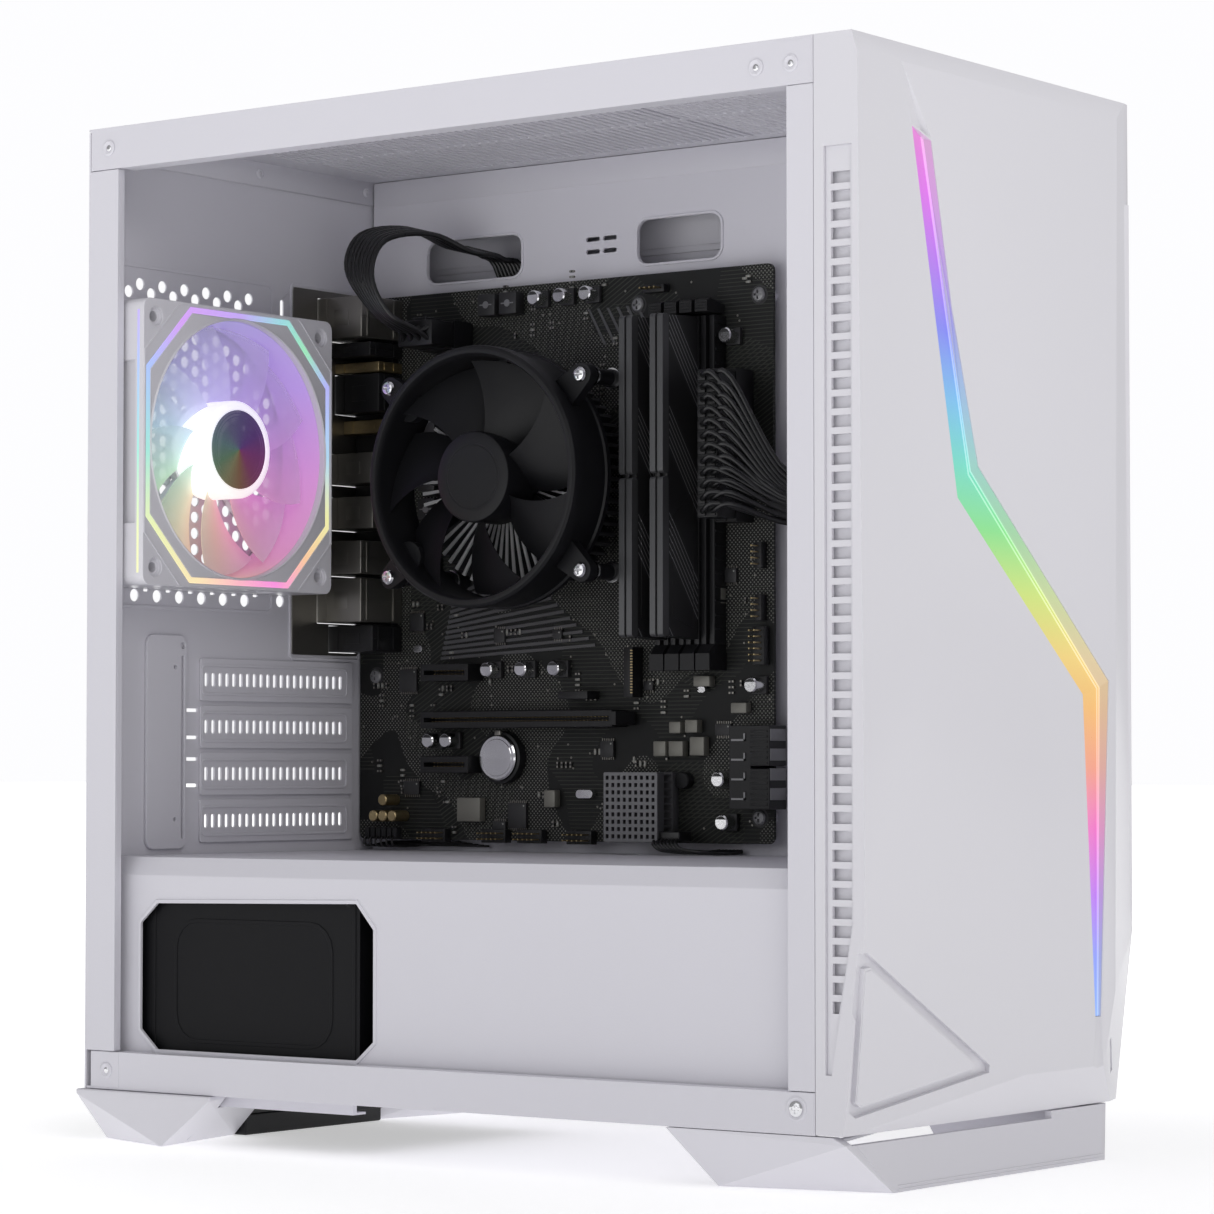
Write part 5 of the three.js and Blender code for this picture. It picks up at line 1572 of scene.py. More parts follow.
@dataclass
class Board:
    """The motherboard with its sockets, chips and small parts."""

    face: float = 71.0
    thick: float = 1.6
    seat: float = 70.7
    y: Span = (155.0, 381.4)
    z: Span = (101.0, 345.0)
    cans: tuple[Point, ...] = ((302, 176), (283, 176), (265, 176), (335, 145), (325, 145), (161, 167.5),
                               (174, 315),
                               (248, 338), (262, 338), (276, 338), (178, 128), (176, 110))
    gold_cans: tuple[Point, ...] = ((360, 118.6), (365.4, 111.5), (360, 111.5), (354.6, 111.5))
    grey_blocks: tuple[tuple[float, float, float, float], ...] = (
        (315, 114.5, 13, 10.5), (211, 141, 6.5, 6.5), (202.5, 141, 7.5, 6.5), (191.5, 142, 7.5, 8), (203, 150,
                                                                                                     6, 5),
        (194.5, 150.5, 6.5, 5.5), (189, 169.5, 8.5, 4.6), (182, 206, 6, 8), (270, 119.5, 6, 7.5), (170, 158,
                                                                                                   8, 4.5))
    chokes: tuple[Point, ...] = ((338, 222), (338, 235), (338, 248), (338, 261), (338, 274), (338, 287),
                                 (338, 300),
                                 (292, 337), (304, 337))
    chips: tuple[tuple[float, float, float, float], ...] = (
        (290, 112, 10, 11), (300, 107, 7, 5), (350, 124, 9, 6), (241, 141, 7, 7), (352, 172, 10, 10),
        (219, 168, 5, 4), (347, 198, 8, 8), (176, 214, 6, 6), (180, 149, 8, 5), (300, 191, 6, 6), (268, 191,
                                                                                                   5, 4))
    holes: tuple[Point, ...] = ((371.6, 174.2), (371.6, 332), (225, 112), (225, 332), (162, 112), (162, 332))

    def build(self) -> None:
        """Makes the board and everything soldered to it."""
        self.sheet()
        self.capacitors()
        self.inductors()
        self.packages()
        self.small_parts()
        self.headers()
        self.card_slots()
        self.chipset()
        self.battery()
        self.drive_sockets()
        self.power_sockets()
        self.stripes()

    def sheet(self) -> None:
        """The board itself, with its screws."""
        posts = [circle(v, w, 3, 16) for v, w in Cooler().ears()]
        outline = soft_box(self.y, self.z, 3.0)
        board = Shape().sheet(Axis.X, outline, (self.face, self.face + self.thick), posts)
        board.piece("main_board", PALETTE.board, replaces=["motherboard"], bevel=0.15)
        screws, pads = Shape(), Shape()
        for v, w in self.holes:
            pads.disc(Axis.X, (v, w), 4.2, (self.face - 0.08, self.face + 0.1), 28)
            screws.added(screw_head(Axis.X, (v, w), 3.1, self.face - 0.05, -1.6))
        pads.piece("board_screw_pads", PALETTE.chip)
        screws.piece("board_screws", PALETTE.chip_grey)

    def capacitors(self) -> None:
        """Upright cans with a scored bright top on a dark foot."""
        tops, feet, marks = Shape(), Shape(), Shape()
        for v, w in self.cans:
            tops.lathe(Axis.X, (v, w), [(0, 62), (2.8, 62), (3.3, 62.5), (3.3, 68.6), (0, 68.6)], 24)
            feet.box((68.4, self.seat), around(v, 3.7), around(w, 3.7), 0.4)
            half = [(v + 2.7 * math.cos(t), w + 2.7 * math.sin(t))
                    for t in [math.pi * (0.15 + 0.7 * k / 8) for k in range(9)]]
            marks.sheet(Axis.X, half, (61.92, 62.0))
        tops.piece("capacitor_cans", PALETTE.chrome)
        feet.piece("capacitor_feet", PALETTE.chip)
        marks.piece("capacitor_marks", PALETTE.chip)
        blocks = Shape()
        for v, w, wide, tall in self.grey_blocks:
            blocks.box((66.4, self.seat), around(v, wide / 2), around(w, tall / 2), 0.5)
        blocks.piece("grey_blocks", PALETTE.part_grey)
        gold = Shape()
        for v, w in self.gold_cans:
            gold.lathe(Axis.X, (v, w), [(0, 61), (2.1, 61), (2.5, 61.4), (2.5, self.seat), (0, self.seat)],
                       20)
        gold.piece("audio_capacitors", PALETTE.gold)

    def inductors(self) -> None:
        """Square power inductors, each with a split lid."""
        cores, seams = Shape(), Shape()
        for v, w in self.chokes:
            cores.box((64.5, self.seat), around(v, 4.9), around(w, 4.9), 0.7)
            seams.box((64.3, 64.6), around(v, 3.4), around(w, 0.25))
            seams.disc(Axis.X, (v, w), 1.6, (64.25, 64.55), 16)
        cores.piece("inductors", PALETTE.chip)
        seams.piece("inductor_marks", PALETTE.chip_grey)

    def packages(self) -> None:
        """Flat chips with legs on two sides and a dot at one corner."""
        bodies, legs, dots = Shape(), Shape(), Shape()
        for v, w, wide, tall in self.chips:
            bodies.box((69.2, self.seat), around(v, wide / 2), around(w, tall / 2), 0.25)
            dots.disc(Axis.X, (v - wide / 2 + 1.2, w + tall / 2 - 1.2), 0.4, (69.12, 69.25), 10)
            count = max(3, int(wide / 1.1))
            for step in range(count):
                y = v - wide / 2 + wide * (step + 0.5) / count
                for side in (-1, 1):
                    near, far = sorted((w + side * tall / 2, w + side * (tall / 2 + 1.1)))
                    legs.box((70.2, self.seat), around(y, 0.2), (near, far))
        bodies.piece("chip_packages", PALETTE.chip)
        legs.piece("chip_legs", PALETTE.metal)
        dots.piece("chip_dots", PALETTE.board_mark)

    def small_parts(self) -> None:
        """Hundreds of chip resistors and capacitors in tidy short rows, and solder dots."""
        chance = random.Random(11)
        dark, tan, ends, dots = Shape(), Shape(), Shape(), Shape()
        for _ in range(150):
            y, z = chance.uniform(158, 376), chance.uniform(104, 342)
            upright = chance.random() < 0.5
            for step in range(chance.randint(1, 4)):
                v, w = (y + step * 2.4, z) if upright else (y, z + step * 2.4)
                if self.occupied(v, w):
                    continue
                half_y, half_z = (0.5, 0.95) if upright else (0.95, 0.5)
                target = dark if chance.random() < 0.6 else tan
                target.box((70.0, self.seat), around(v, half_y), around(w, half_z))
                for side in (-1, 1):
                    dy, dz = (0, side * 0.85) if upright else (side * 0.85, 0)
                    ends.box((69.95, self.face - 0.02), (v + dy - 0.42, v + dy + 0.42),
                             (w + dz - 0.42, w + dz + 0.42))
        for _ in range(260):
            v, w = chance.uniform(157, 380), chance.uniform(103, 343)
            if not self.occupied(v, w):
                dots.disc(Axis.X, (v, w), 0.42, (self.face - 0.25, self.face + 0.1), 8, 0.6)
        dark.piece("chip_resistors", PALETTE.chip)
        tan.piece("chip_capacitors", PALETTE.board_mark)
        ends.piece("chip_part_ends", PALETTE.metal)
        dots.piece("solder_dots", PALETTE.metal)

    @staticmethod
    def occupied(v: float, w: float) -> bool:
        """Whether a larger part already stands at a place on the board."""
        taken = (((178, 212), (170, 334)), ((350, 384), (182, 346)), ((162, 178), (232, 304)),
                 ((312, 340), (314, 334)), ((200, 236), (98, 134)), ((146, 172), (112, 154)),
                 ((285, 311), (125, 150)), ((228, 340), (147, 160)), ((306, 340), (128, 142)),
                 ((306, 340), (170, 180)))
        return any(y0 < v < y1 and z0 < w < z1 for (y0, y1), (z0, z1) in taken)

    def headers(self) -> None:
        """Pin headers, crystals and the upright card socket."""
        blocks, pins = Shape(), Shape()
        rows = ((254, 102.8, 5, 2), (281, 103, 5, 2), (301, 103, 5, 2), (335, 103, 5, 2), (214, 338, 4, 1),
                (160, 200, 1, 4), (160, 222, 1, 4), (160, 184, 2, 6))
        for y, z, along, up in rows:
            half_y, half_z = along * 1.27 + 0.4, up * 1.27 + 0.4
            blocks.box((66.5, self.seat), around(y, half_y), around(z, half_z), 0.2)
            for i in range(along):
                for k in range(up):
                    v, w = y + (i - (along - 1) / 2) * 2.54, z + (k - (up - 1) / 2) * 2.54
                    pins.box((61.5, 66.6), around(v, 0.3), around(w, 0.3))
        blocks.box((63, self.seat), (222.6, 227.4), (163, 184.5), 0.3)
        blocks.box((62, self.seat), (246, 262), (162.5, 166), 0.3)
        for step in range(16):
            z = 165 + 1.2 * step
            pins.box((62.7, 63.1), (222.4, 223.6), around(z, 0.25))
        blocks.piece("header_blocks", PALETTE.black)
        pins.piece("header_pins", PALETTE.gold)
        cans = Shape()
        for y, z, wide, tall in ((252, 121.6, 9, 3.6), (345, 186, 5, 3), (190, 166, 4, 2.6)):
            cans.sheet(Axis.X, soft_box(around(y, wide / 2), around(z, tall / 2), tall / 2 - 0.05),
                       (67.6, self.seat))
        cans.piece("crystals", PALETTE.chrome, bevel=0.3)

    def card_slots(self) -> None:
        """The expansion sockets with ribbed walls and their contact rows."""
        slots = (("expansion_slot_upper", 175.0, (310, 337)), ("graphics_slot", 154.08, (231, 337)),
                 ("expansion_slot_lower", 134.36, (310, 337)))
        for name, z, (near, far) in slots:
            dress(name, PALETTE.black, 0.35)
            contacts, ribs = Shape(), Shape()
            for step in range(int((far - near - 8) / 2)):
                y = near + 4 + step * 2
                for side in (-1, 1):
                    contacts.box((61, 66.5), around(y, 0.25),
                                 (z + side * 0.78 - 0.12, z + side * 0.78 + 0.12))
                    low, high = sorted((z + side * 3.6, z + side * 3.85))
                    ribs.box((61, 69.5), around(y, 0.35), (low, high))
            contacts.piece(f"{name}_contacts", PALETTE.gold)
            ribs.piece(f"{name}_ribs", PALETTE.black)
        lever = Shape.of_node("graphics_slot_latch")
        lever.piece("graphics_latch_lever", PALETTE.black, "graphics_latch", ["graphics_slot_latch"],
                    bevel=0.3)

    def chipset(self) -> None:
        """The chipset's heatsink, a grid of square pins with a round tab."""
        sink = Shape().box((66, self.seat), (203.8, 232), (101.5, 131), 0.4)
        holes = []
        for i in range(9):
            for k in range(9):
                y, z = 205.2 + 3.02 * i, 102.9 + 3.12 * k
                holes.append([(y, z), (y + 1.55, z), (y + 1.55, z + 1.75), (y, z + 1.75)])
        sink.sheet(Axis.X, soft_box((203.8, 232), (101.5, 131), 0.6, 3), (55, 60), holes)
        for k in range(10):
            z = 101.9 + 3.12 * k
            sink.box((60, 66.2), (204.2, 231.6), (z - 0.3, z + 0.5))
        sink.piece("chipset_sink", PALETTE.chipset, replaces=["chipset_heatsink"])
        tab = Shape().lathe(Axis.X, (199.5, 127.5), [(0, 66.5), (3.2, 66.5), (3.6, 67), (3.6, self.seat),
                                                     (0, self.seat)], 24)
        tab.piece("chipset_tab", PALETTE.black)

    def battery(self) -> None:
        """A coin cell in a holder with a sprung clip."""
        centre = (297.6, 137.4)
        holder = [(10.3, 66), (11.5, 66.4), (11.5, self.seat), (0, self.seat), (0, 69.2), (10.3, 69.2)]
        Shape().lathe(Axis.X, centre, holder[::-1], 48).piece(
            "battery_holder", PALETTE.black, replaces=["cmos_battery"])
        cell = [(0, 64.4), (8.0, 64.4), (8.2, 64.6), (9.4, 64.6), (10.0, 65.2), (10.0, 68.8), (0, 68.8)]
        Shape().lathe(Axis.X, centre, cell, 48).piece("battery_cell", PALETTE.chrome)
        clip = Shape().box((65.0, 69.0), (295.9, 299.3), (147.2, 149.4), 0.3)
        clip.piece("battery_clip", PALETTE.metal)

    def drive_sockets(self) -> None:
        """The drive sockets, ribbed on one side and with keyed slots on the other."""
        dress("sata_ports", PALETTE.black, 0.4)
        ribs, keys = Shape(), Shape()
        for step in range(7):
            z = 117.2 + 2.2 * step
            ribs.box((57.6, 58.2), (149.5, 158), (z, z + 1.0), 0.1)
            ribs.box((57.6, 58.2), (149.5, 158), (z + 17.2, z + 18.2), 0.1)
        for step in range(4):
            z = 119.5 + 8.2 * step
            keys.box((57.5, 58.2), (160.5, 167.5), (z, z + 0.8))
            keys.box((57.5, 58.2), (160.5, 161.3), (z, z + 3.2))
            keys.box((58.5, 70), (148.3, 148.8), (z, z + 5.0), 0.1)
        ribs.piece("drive_socket_ribs", PALETTE.black)
        keys.piece("drive_socket_keys", PALETTE.chip_grey)

    def power_sockets(self) -> None:
        """The two power sockets, with their cells and a latch nose."""
        for node, y, z, cells in (("atx_power_connector", (164.8, 175.4), (236, 300), (2, 12)),
                                  ("cpu_power_connector", (316, 336), (318, 330), (4, 2))):
            dress(node, PALETTE.black, 0.4)
            rims = Shape()
            wide, tall = (y[1] - y[0]) / cells[0], (z[1] - z[0]) / cells[1]
            for i in range(cells[0] + 1):
                edge = y[0] + wide * i
                rims.box((57.4, 69), (max(edge - 0.25, y[0] - 0.2), min(edge + 0.25, y[1] + 0.2)),
                         (z[0] - 0.15, z[1] + 0.15))
            for k in range(cells[1] + 1):
                edge = z[0] + tall * k
                rims.box((57.4, 69), (y[0] - 0.15, y[1] + 0.15),
                         (max(edge - 0.25, z[0] - 0.2), min(edge + 0.25, z[1] + 0.2)))
            rims.piece(f"{node}_cells", PALETTE.black)

    def stripes(self) -> None:
        """Broad slanting marks on the board beside the cooler."""
        marks = Shape()
        for step in range(13):
            start = Vector((334 - 0.6 * step, 181.5 + 2.3 * step))
            end = Vector((248 + 3.4 * step, 186 + 3.0 * step))
            side = (end - start).orthogonal().normalized() * 0.75
            outline = [tuple(point) for point in (start - side, end - side, end + side, start + side)]
            marks.sheet(Axis.X, outline, (self.face - 0.7, self.face + 0.05))
        for step in range(6):
            y = 216 + 5.2 * step
            outline = [(y, 316), (y + 1.6, 316), (y + 10.6, 332), (y + 9.0, 332)]
            marks.sheet(Axis.X, outline, (self.face - 0.4, self.face + 0.05))
        marks.piece("board_stripes", PALETTE.board_rib, bevel=0.2)


@dataclass
class Ports:
    """The rear sockets and the plate round them."""

    rows: tuple[tuple[Span, float, str], ...] = (
        ((324.5, 343), 42, "metal"), ((316.6, 323), 48, "black"), ((310, 314.6), 54, "gold"),
        ((292, 309.3), 54, "black"), ((283, 289.2), 60, "gold"), ((260, 273.6), 50, "metal"),
        ((239.6, 254), 50, "metal"), ((219, 233.8), 42, "metal"), ((197.7, 217.2), 42, "metal"),
        ((184.8, 196.4), 50, "black"))
    back: float = 385.6

    def build(self) -> None:
        """Makes the sockets one above another, then the plate."""
        finishes = {"metal": PALETTE.metal, "black": PALETTE.black, "gold": PALETTE.gold}
        for number, ((low, high), near, kind) in enumerate(self.rows):
            self.socket(number + 1, low, high, near, finishes[kind])
        spine = Shape().box((66.7, 70.7), (359, 380.5), (184.6, 343), 0.4)
        spine.piece("port_spine", PALETTE.black, replaces=["io_port_stack"])
        self.plate()

    def socket(self, number: int, low: float, high: float, near: float, finish: Finish) -> None:
        """One socket's shell with folded seams, a spring tab and an open mouth."""
        shell = Shape().box((near, 70.7), (356.5, self.back - 1.4), (low, high), 0.5)
        middle = (low + high) / 2
        tall = high - low
        mouth = Shape().box((near + 1.6, 66.5), (self.back - 10, self.back + 4),
                            (middle - tall * 0.32, middle + tall * 0.32))
        shell = shell.carved(mouth)
        shell.piece(f"port_{number}_shell", finish, bevel=0.2)
        detail = Shape().box((near - 0.25, near + 0.3), (364, 372),
                             (middle - tall * 0.2, middle + tall * 0.2), 0.1)
        detail.box((near - 0.12, 69), (356.2, 356.8), around(middle, 0.2))
        detail.box((near - 0.2, near + 0.3), (376.5, 377.3), (low + 0.4, high - 0.4))
        for x in (near + 3.5, 64):
            detail.box((x, x + 1.6), (356.1, 356.8), (low + 0.8, high - 0.8), 0.1)
        detail.piece(f"port_{number}_seams", finish)
        tongue = Shape().box((near + 3.2, 64), (self.back - 9.6, self.back - 2.2), around(middle, 0.6), 0.2)
        tongue.piece(f"port_{number}_tongue", PALETTE.black)

    def plate(self) -> None:
        """The thin plate with a hole for each socket."""
        holes = [soft_box((near - 0.4, 69.6), (low - 0.3, high + 0.3), 0.5, 3)
                 for (low, high), near, _ in self.rows if high - low > 6.5]
        outline = soft_box((25, 70), (183.2, 346.8), 1.5)
        plate = Shape().sheet(Axis.Y, outline, (381.9, 382.7), holes)
        plate.piece("port_plate", PALETTE.metal, replaces=["io_shield"], bevel=0.15)


# ------------------------------------------------------------------------------ cables


@dataclass
class Cables:
    """The two power cables, each a bundle of separate wires."""

    wire: float = 1.15
    cpu_route: tuple[Point, ...] = (
        (38, 327, 325), (26, 333, 333), (22, 341, 350), (30, 340, 366), (50, 330, 370), (66, 320, 363),
        (80.5, 314, 361), (90.5, 306, 343), (91, 280, 220), (91, 250, 110), (89, 232, 80), (80.5, 216, 73),
        (60, 222, 72), (48, 232, 72), (48, 243.6, 72))
    board_route: tuple[Point, ...] = (
        (49, 156, 256), (56, 142, 247), (70, 126, 239), (84, 114, 230), (91, 112, 210), (91, 122, 150),
        (91, 150, 80), (90, 178, 52), (80.5, 203, 46), (64, 219, 46), (52, 232, 46), (52, 243.6, 46))

    def build(self) -> None:
        """Makes both cables and their plugs."""
        self.board_cable()
        self.processor_cable()
        self.small_wires()

    def board_cable(self) -> None:
        """Twelve pairs of wires that gather from a tall plug and go behind the tray."""
        plug = Shape().box((44, 57.7), (165, 175.2), (237, 299), 0.5)
        for step in range(12):
            z = 239.6 + 5.15 * step
            plug.box((43.2, 44.4), (165.6, 169.6), around(z, 2.0), 0.3)
            plug.box((43.2, 44.4), (170.6, 174.6), around(z, 2.0), 0.3)
        plug.box((46, 56), (175.0, 176.4), (262, 274), 0.4)
        plug.piece("board_plug", PALETTE.black, replaces=["atx_power_cable"])
        wires = Shape()
        for step in range(12):
            z = 239.6 + 5.15 * step
            for row, y in enumerate((167.6, 172.6)):
                turn = math.radians(30 * step + 15 * row)
                reach = 4.9 if row else 2.6
                lean = (step - 5.5) * (0.95 if row else 0.8)
                path = [(44.5, y, z), (40 - row * 2.0, y - 4 - row, z),
                        (41 - row * 2.2, y - 12, z - lean * 0.5)]
                for place, (x, v, w) in enumerate(self.board_route[1:]):
                    gather = min(1.0, 0.35 + place * 0.28)
                    spread = (1 - gather) * (step - 5.5) * 3.4
                    path.append((x + reach * math.cos(turn) * gather,
                                 v + reach * 0.6 * math.cos(turn + 1) * gather,
                                 w + spread + reach * math.sin(turn) * gather))
                wires.rod(curve(path, 5), self.wire, 8)
        wires.piece("board_wires", PALETTE.cable, smooth=60)

    def processor_cable(self) -> None:
        """A flat ribbon of eight wires that arches over the board's top edge."""
        plug = Shape().box((42, 57.7), (316.4, 335.6), (318.4, 329.6), 0.5)
        plug.box((45, 56), (322, 330), (329.2, 331.2), 0.4)
        plug.piece("processor_plug", PALETTE.black, replaces=["cpu_power_cable"])
        wires = Shape()
        count = len(self.cpu_route)
        for step in range(8):
            start = (43, 318.6 + 4.9 * (step // 2), 321 + 5.4 * (step % 2))
            path = [start]
            for place, (x, v, w) in enumerate(self.cpu_route):
                wide = (step - 3.5) * (2.35 if 1 < place < count - 3 else 1.7)
                across = Vector((0.12, 1.0, 0.25 if place < 7 else 0.0)) if place > 0 else Vector((0, 1.0,
                                                                                                   0.1))
                shift = across.normalized() * wide
                path.append((x + shift.x, v + shift.y, w + shift.z))
            wires.rod(curve(path, 6), 1.2, 8)
        wires.piece("processor_wires", PALETTE.cable, smooth=60)

    def small_wires(self) -> None:
        """Thin leads from the board's lower edge down behind the cover."""
        leads = Shape()
        for step in range(6):
            y = 354 + 3.2 * step
            path = [(66, y, 104), (61, y, 101), (62, y - 1, 98.2), (72, y - 3, 98.0 + 0.3 * step),
                    (77.5, y - 9, 98.4 + 0.3 * step), (77.5, y - 42, 98.2 + 0.3 * step)]
            leads.rod(curve(path, 6), 0.5, 6)
        leads.piece("panel_leads", PALETTE.cable, smooth=60)
        ribbon = Shape()
        for step in range(7):
            y = 206.0 - 1.9 * step
            path = [(58, y, 103), (54, y - 1, 101), (54, y - 5, 98.4), (60, y - 13, 97.4), (70, y - 17, 97.2),
                    (77, y - 19, 97.6)]
            ribbon.rod(curve(path, 6), 0.9, 8)
        ribbon.box((56.5, 66), (193.5, 207.5), (101.6, 106.0), 0.5)
        ribbon.piece("front_socket_lead", PALETTE.cable, smooth=60)
        plugs = Shape()
        for step in range(6):
            y = 354 + 3.2 * step
            plugs.box((62.5, 66.5), around(y, 1.2), (101.2, 106.4), 0.3)
        plugs.piece("panel_lead_plugs", PALETTE.black)


# ------------------------------------------------------------------------------ power supply and drive


@dataclass
class PowerSupply:
    """The power supply behind its window, with its fan, grille, inlet and rocker."""

    face: float = -91.0
    fan: Point = (-16.0, 306.0)
    bore: float = 56.0
    tip: float = 53.0

    def build(self) -> None:
        """Dresses the casing and adds its details."""
        dress("psu_body", PALETTE.black_steel, 0.6)
        self.side()
        self.guard()
        self.rotor()
        self.rear()
        self.rocker()

    def side(self) -> None:
        """Stepped embossed lips on the side seen through the window."""
        levels = (((246, 356), (8, 83), 6, -91.35), ((258, 344), (20, 71), 12, -91.3))
        for number, (y, z, radius, out) in enumerate(levels):
            ring = soft_box(y, z, radius)
            lip = Shape().sheet(Axis.X, ring, (out, -90.9), [offset(ring, -1.6)])
            lip.piece(f"supply_emboss_{number + 1}", PALETTE.black_steel, bevel=0.3)
        for number, (y, z) in enumerate(((249, 11), (249, 80), (372, 11), (372, 80))):
            screw_head(Axis.X, (y, z), 2.8, self.face, -1.3).piece(f"supply_screw_{number + 1}",
                                                                   PALETTE.black_steel)

    def guard(self) -> None:
        """The wire guard under the intake."""
        x, y = self.fan
        guard = Shape()
        for radius in (10, 20, 30, 40, 50):
            ring = [(x + radius * math.cos(t), y + radius * math.sin(t), 3.0)
                    for t in [2 * math.pi * k / 48 for k in range(49)]]
            guard.rod(ring, 0.6, 6)
        for step in range(4):
            turn = math.radians(45 + 90 * step)
            guard.rod([(x + r * math.cos(turn), y + r * math.sin(turn), 3.4) for r in (9, 57)], 0.7, 6)
        guard.piece("supply_guard", PALETTE.metal)

    def rotor(self) -> None:
        """The supply's own fan."""
        Blades(7, 19, self.tip, 8, 22, 38, 12, 1.4).shape(Axis.Z, self.fan).piece(
            "supply_fan_blades", PALETTE.black_soft, "psu_fan", ["psu_fan_rotor"], smooth=50)
        hub = [(0, 26), (20, 26), (20, 6.2), (19, 5.2), (0, 5)]
        Shape().lathe(Axis.Z, self.fan, hub, 48).piece("supply_fan_hub", PALETTE.black_soft, "psu_fan")

    def rear(self) -> None:
        """The honeycomb rear plate and the inlet's three pins."""
        holes = []
        for column in range(20):
            for row in range(13):
                x, z = -81 + 6.6 * column, 12.5 + 5.72 * row
                x += 3.3 * (row % 2)
                if x > 50 or (x < -34 and 46 < z < 78) or (-24 < x < -4 and 48 < z < 76):
                    continue
                holes.append(circle(x, z, 2.5, 6, 30))
        for hole in (octagon((-52.2, 62), 13.8, 0.3), soft_box((-21, -7), (51.6, 72.4), 1.2, 3)):
            holes.append(hole)
        plate = Shape().sheet(Axis.Y, soft_box((-85.6, 53.6), (8.4, 82.6), 2.5), (384.4, 385.0), holes)
        plate.piece("supply_grille", PALETTE.black_steel)
        pins = Shape()
        for x, z in ((-58, 60), (-46, 60), (-52, 65.5)):
            pins.box(around(x, 1.0), (368, 379), around(z, 2.0), 0.3)
        pins.piece("inlet_pins", PALETTE.chrome)
        throat = Shape().sheet(Axis.Y, octagon((-52.2, 62), 13.6, 0.3), (382.6, 385.4),
                               [octagon((-52.2, 62), 11.8, 0.3)])
        throat.piece("inlet_rim", PALETTE.black, bevel=0.4)

    def rocker(self) -> None:
        """The rocker switch with a raised bar and ring on its halves."""
        lever = Shape.of_node("psu_switch")
        lever.piece("rocker_lever", PALETTE.black, "psu_rocker", ["psu_switch"], bevel=0.4)
        rim = Shape().sheet(Axis.Y, soft_box((-22.6, -5.4), (50.2, 73.8), 1.5), (383.8, 385.6),
                            [soft_box((-21, -7), (51.6, 72.4), 1.0)])
        rim.piece("rocker_rim", PALETTE.black, bevel=0.3)


@dataclass
class Drive:
    """The hard drive in its cage."""

    def build(self) -> None:
        """Dresses the cage and makes the drive."""
        dress("drive_cage", PALETTE.steel, 0.5)
        body = Shape().box((-73, 73.5), (47, 149), (6, 32), 1.2)
        trench = Shape().box((-60, 60), (52, 144), (31, 34), 0.5)
        body = body.carved(trench)
        body.piece("drive_case", PALETTE.drive, replaces=["hard_drive"], bevel=0.4)
        lid = Shape().sheet(Axis.Z, soft_box((-58, 58), (54, 142), 8), (30.8, 31.6))
        lid.disc(Axis.Z, (-18, 98), 26, (31.5, 31.95), 48)
        lid.piece("drive_lid", PALETTE.drive, bevel=0.2)
        screws = Shape()
        for x, y in ((-54, 58), (54, 58), (-54, 138), (54, 138), (0, 57), (0, 139)):
            screws.added(screw_head(Axis.Z, (x, y), 2.2, 31.5, 0.6))
        screws.piece("drive_screws", PALETTE.chrome)


# ------------------------------------------------------------------------------ covers, buttons and filters


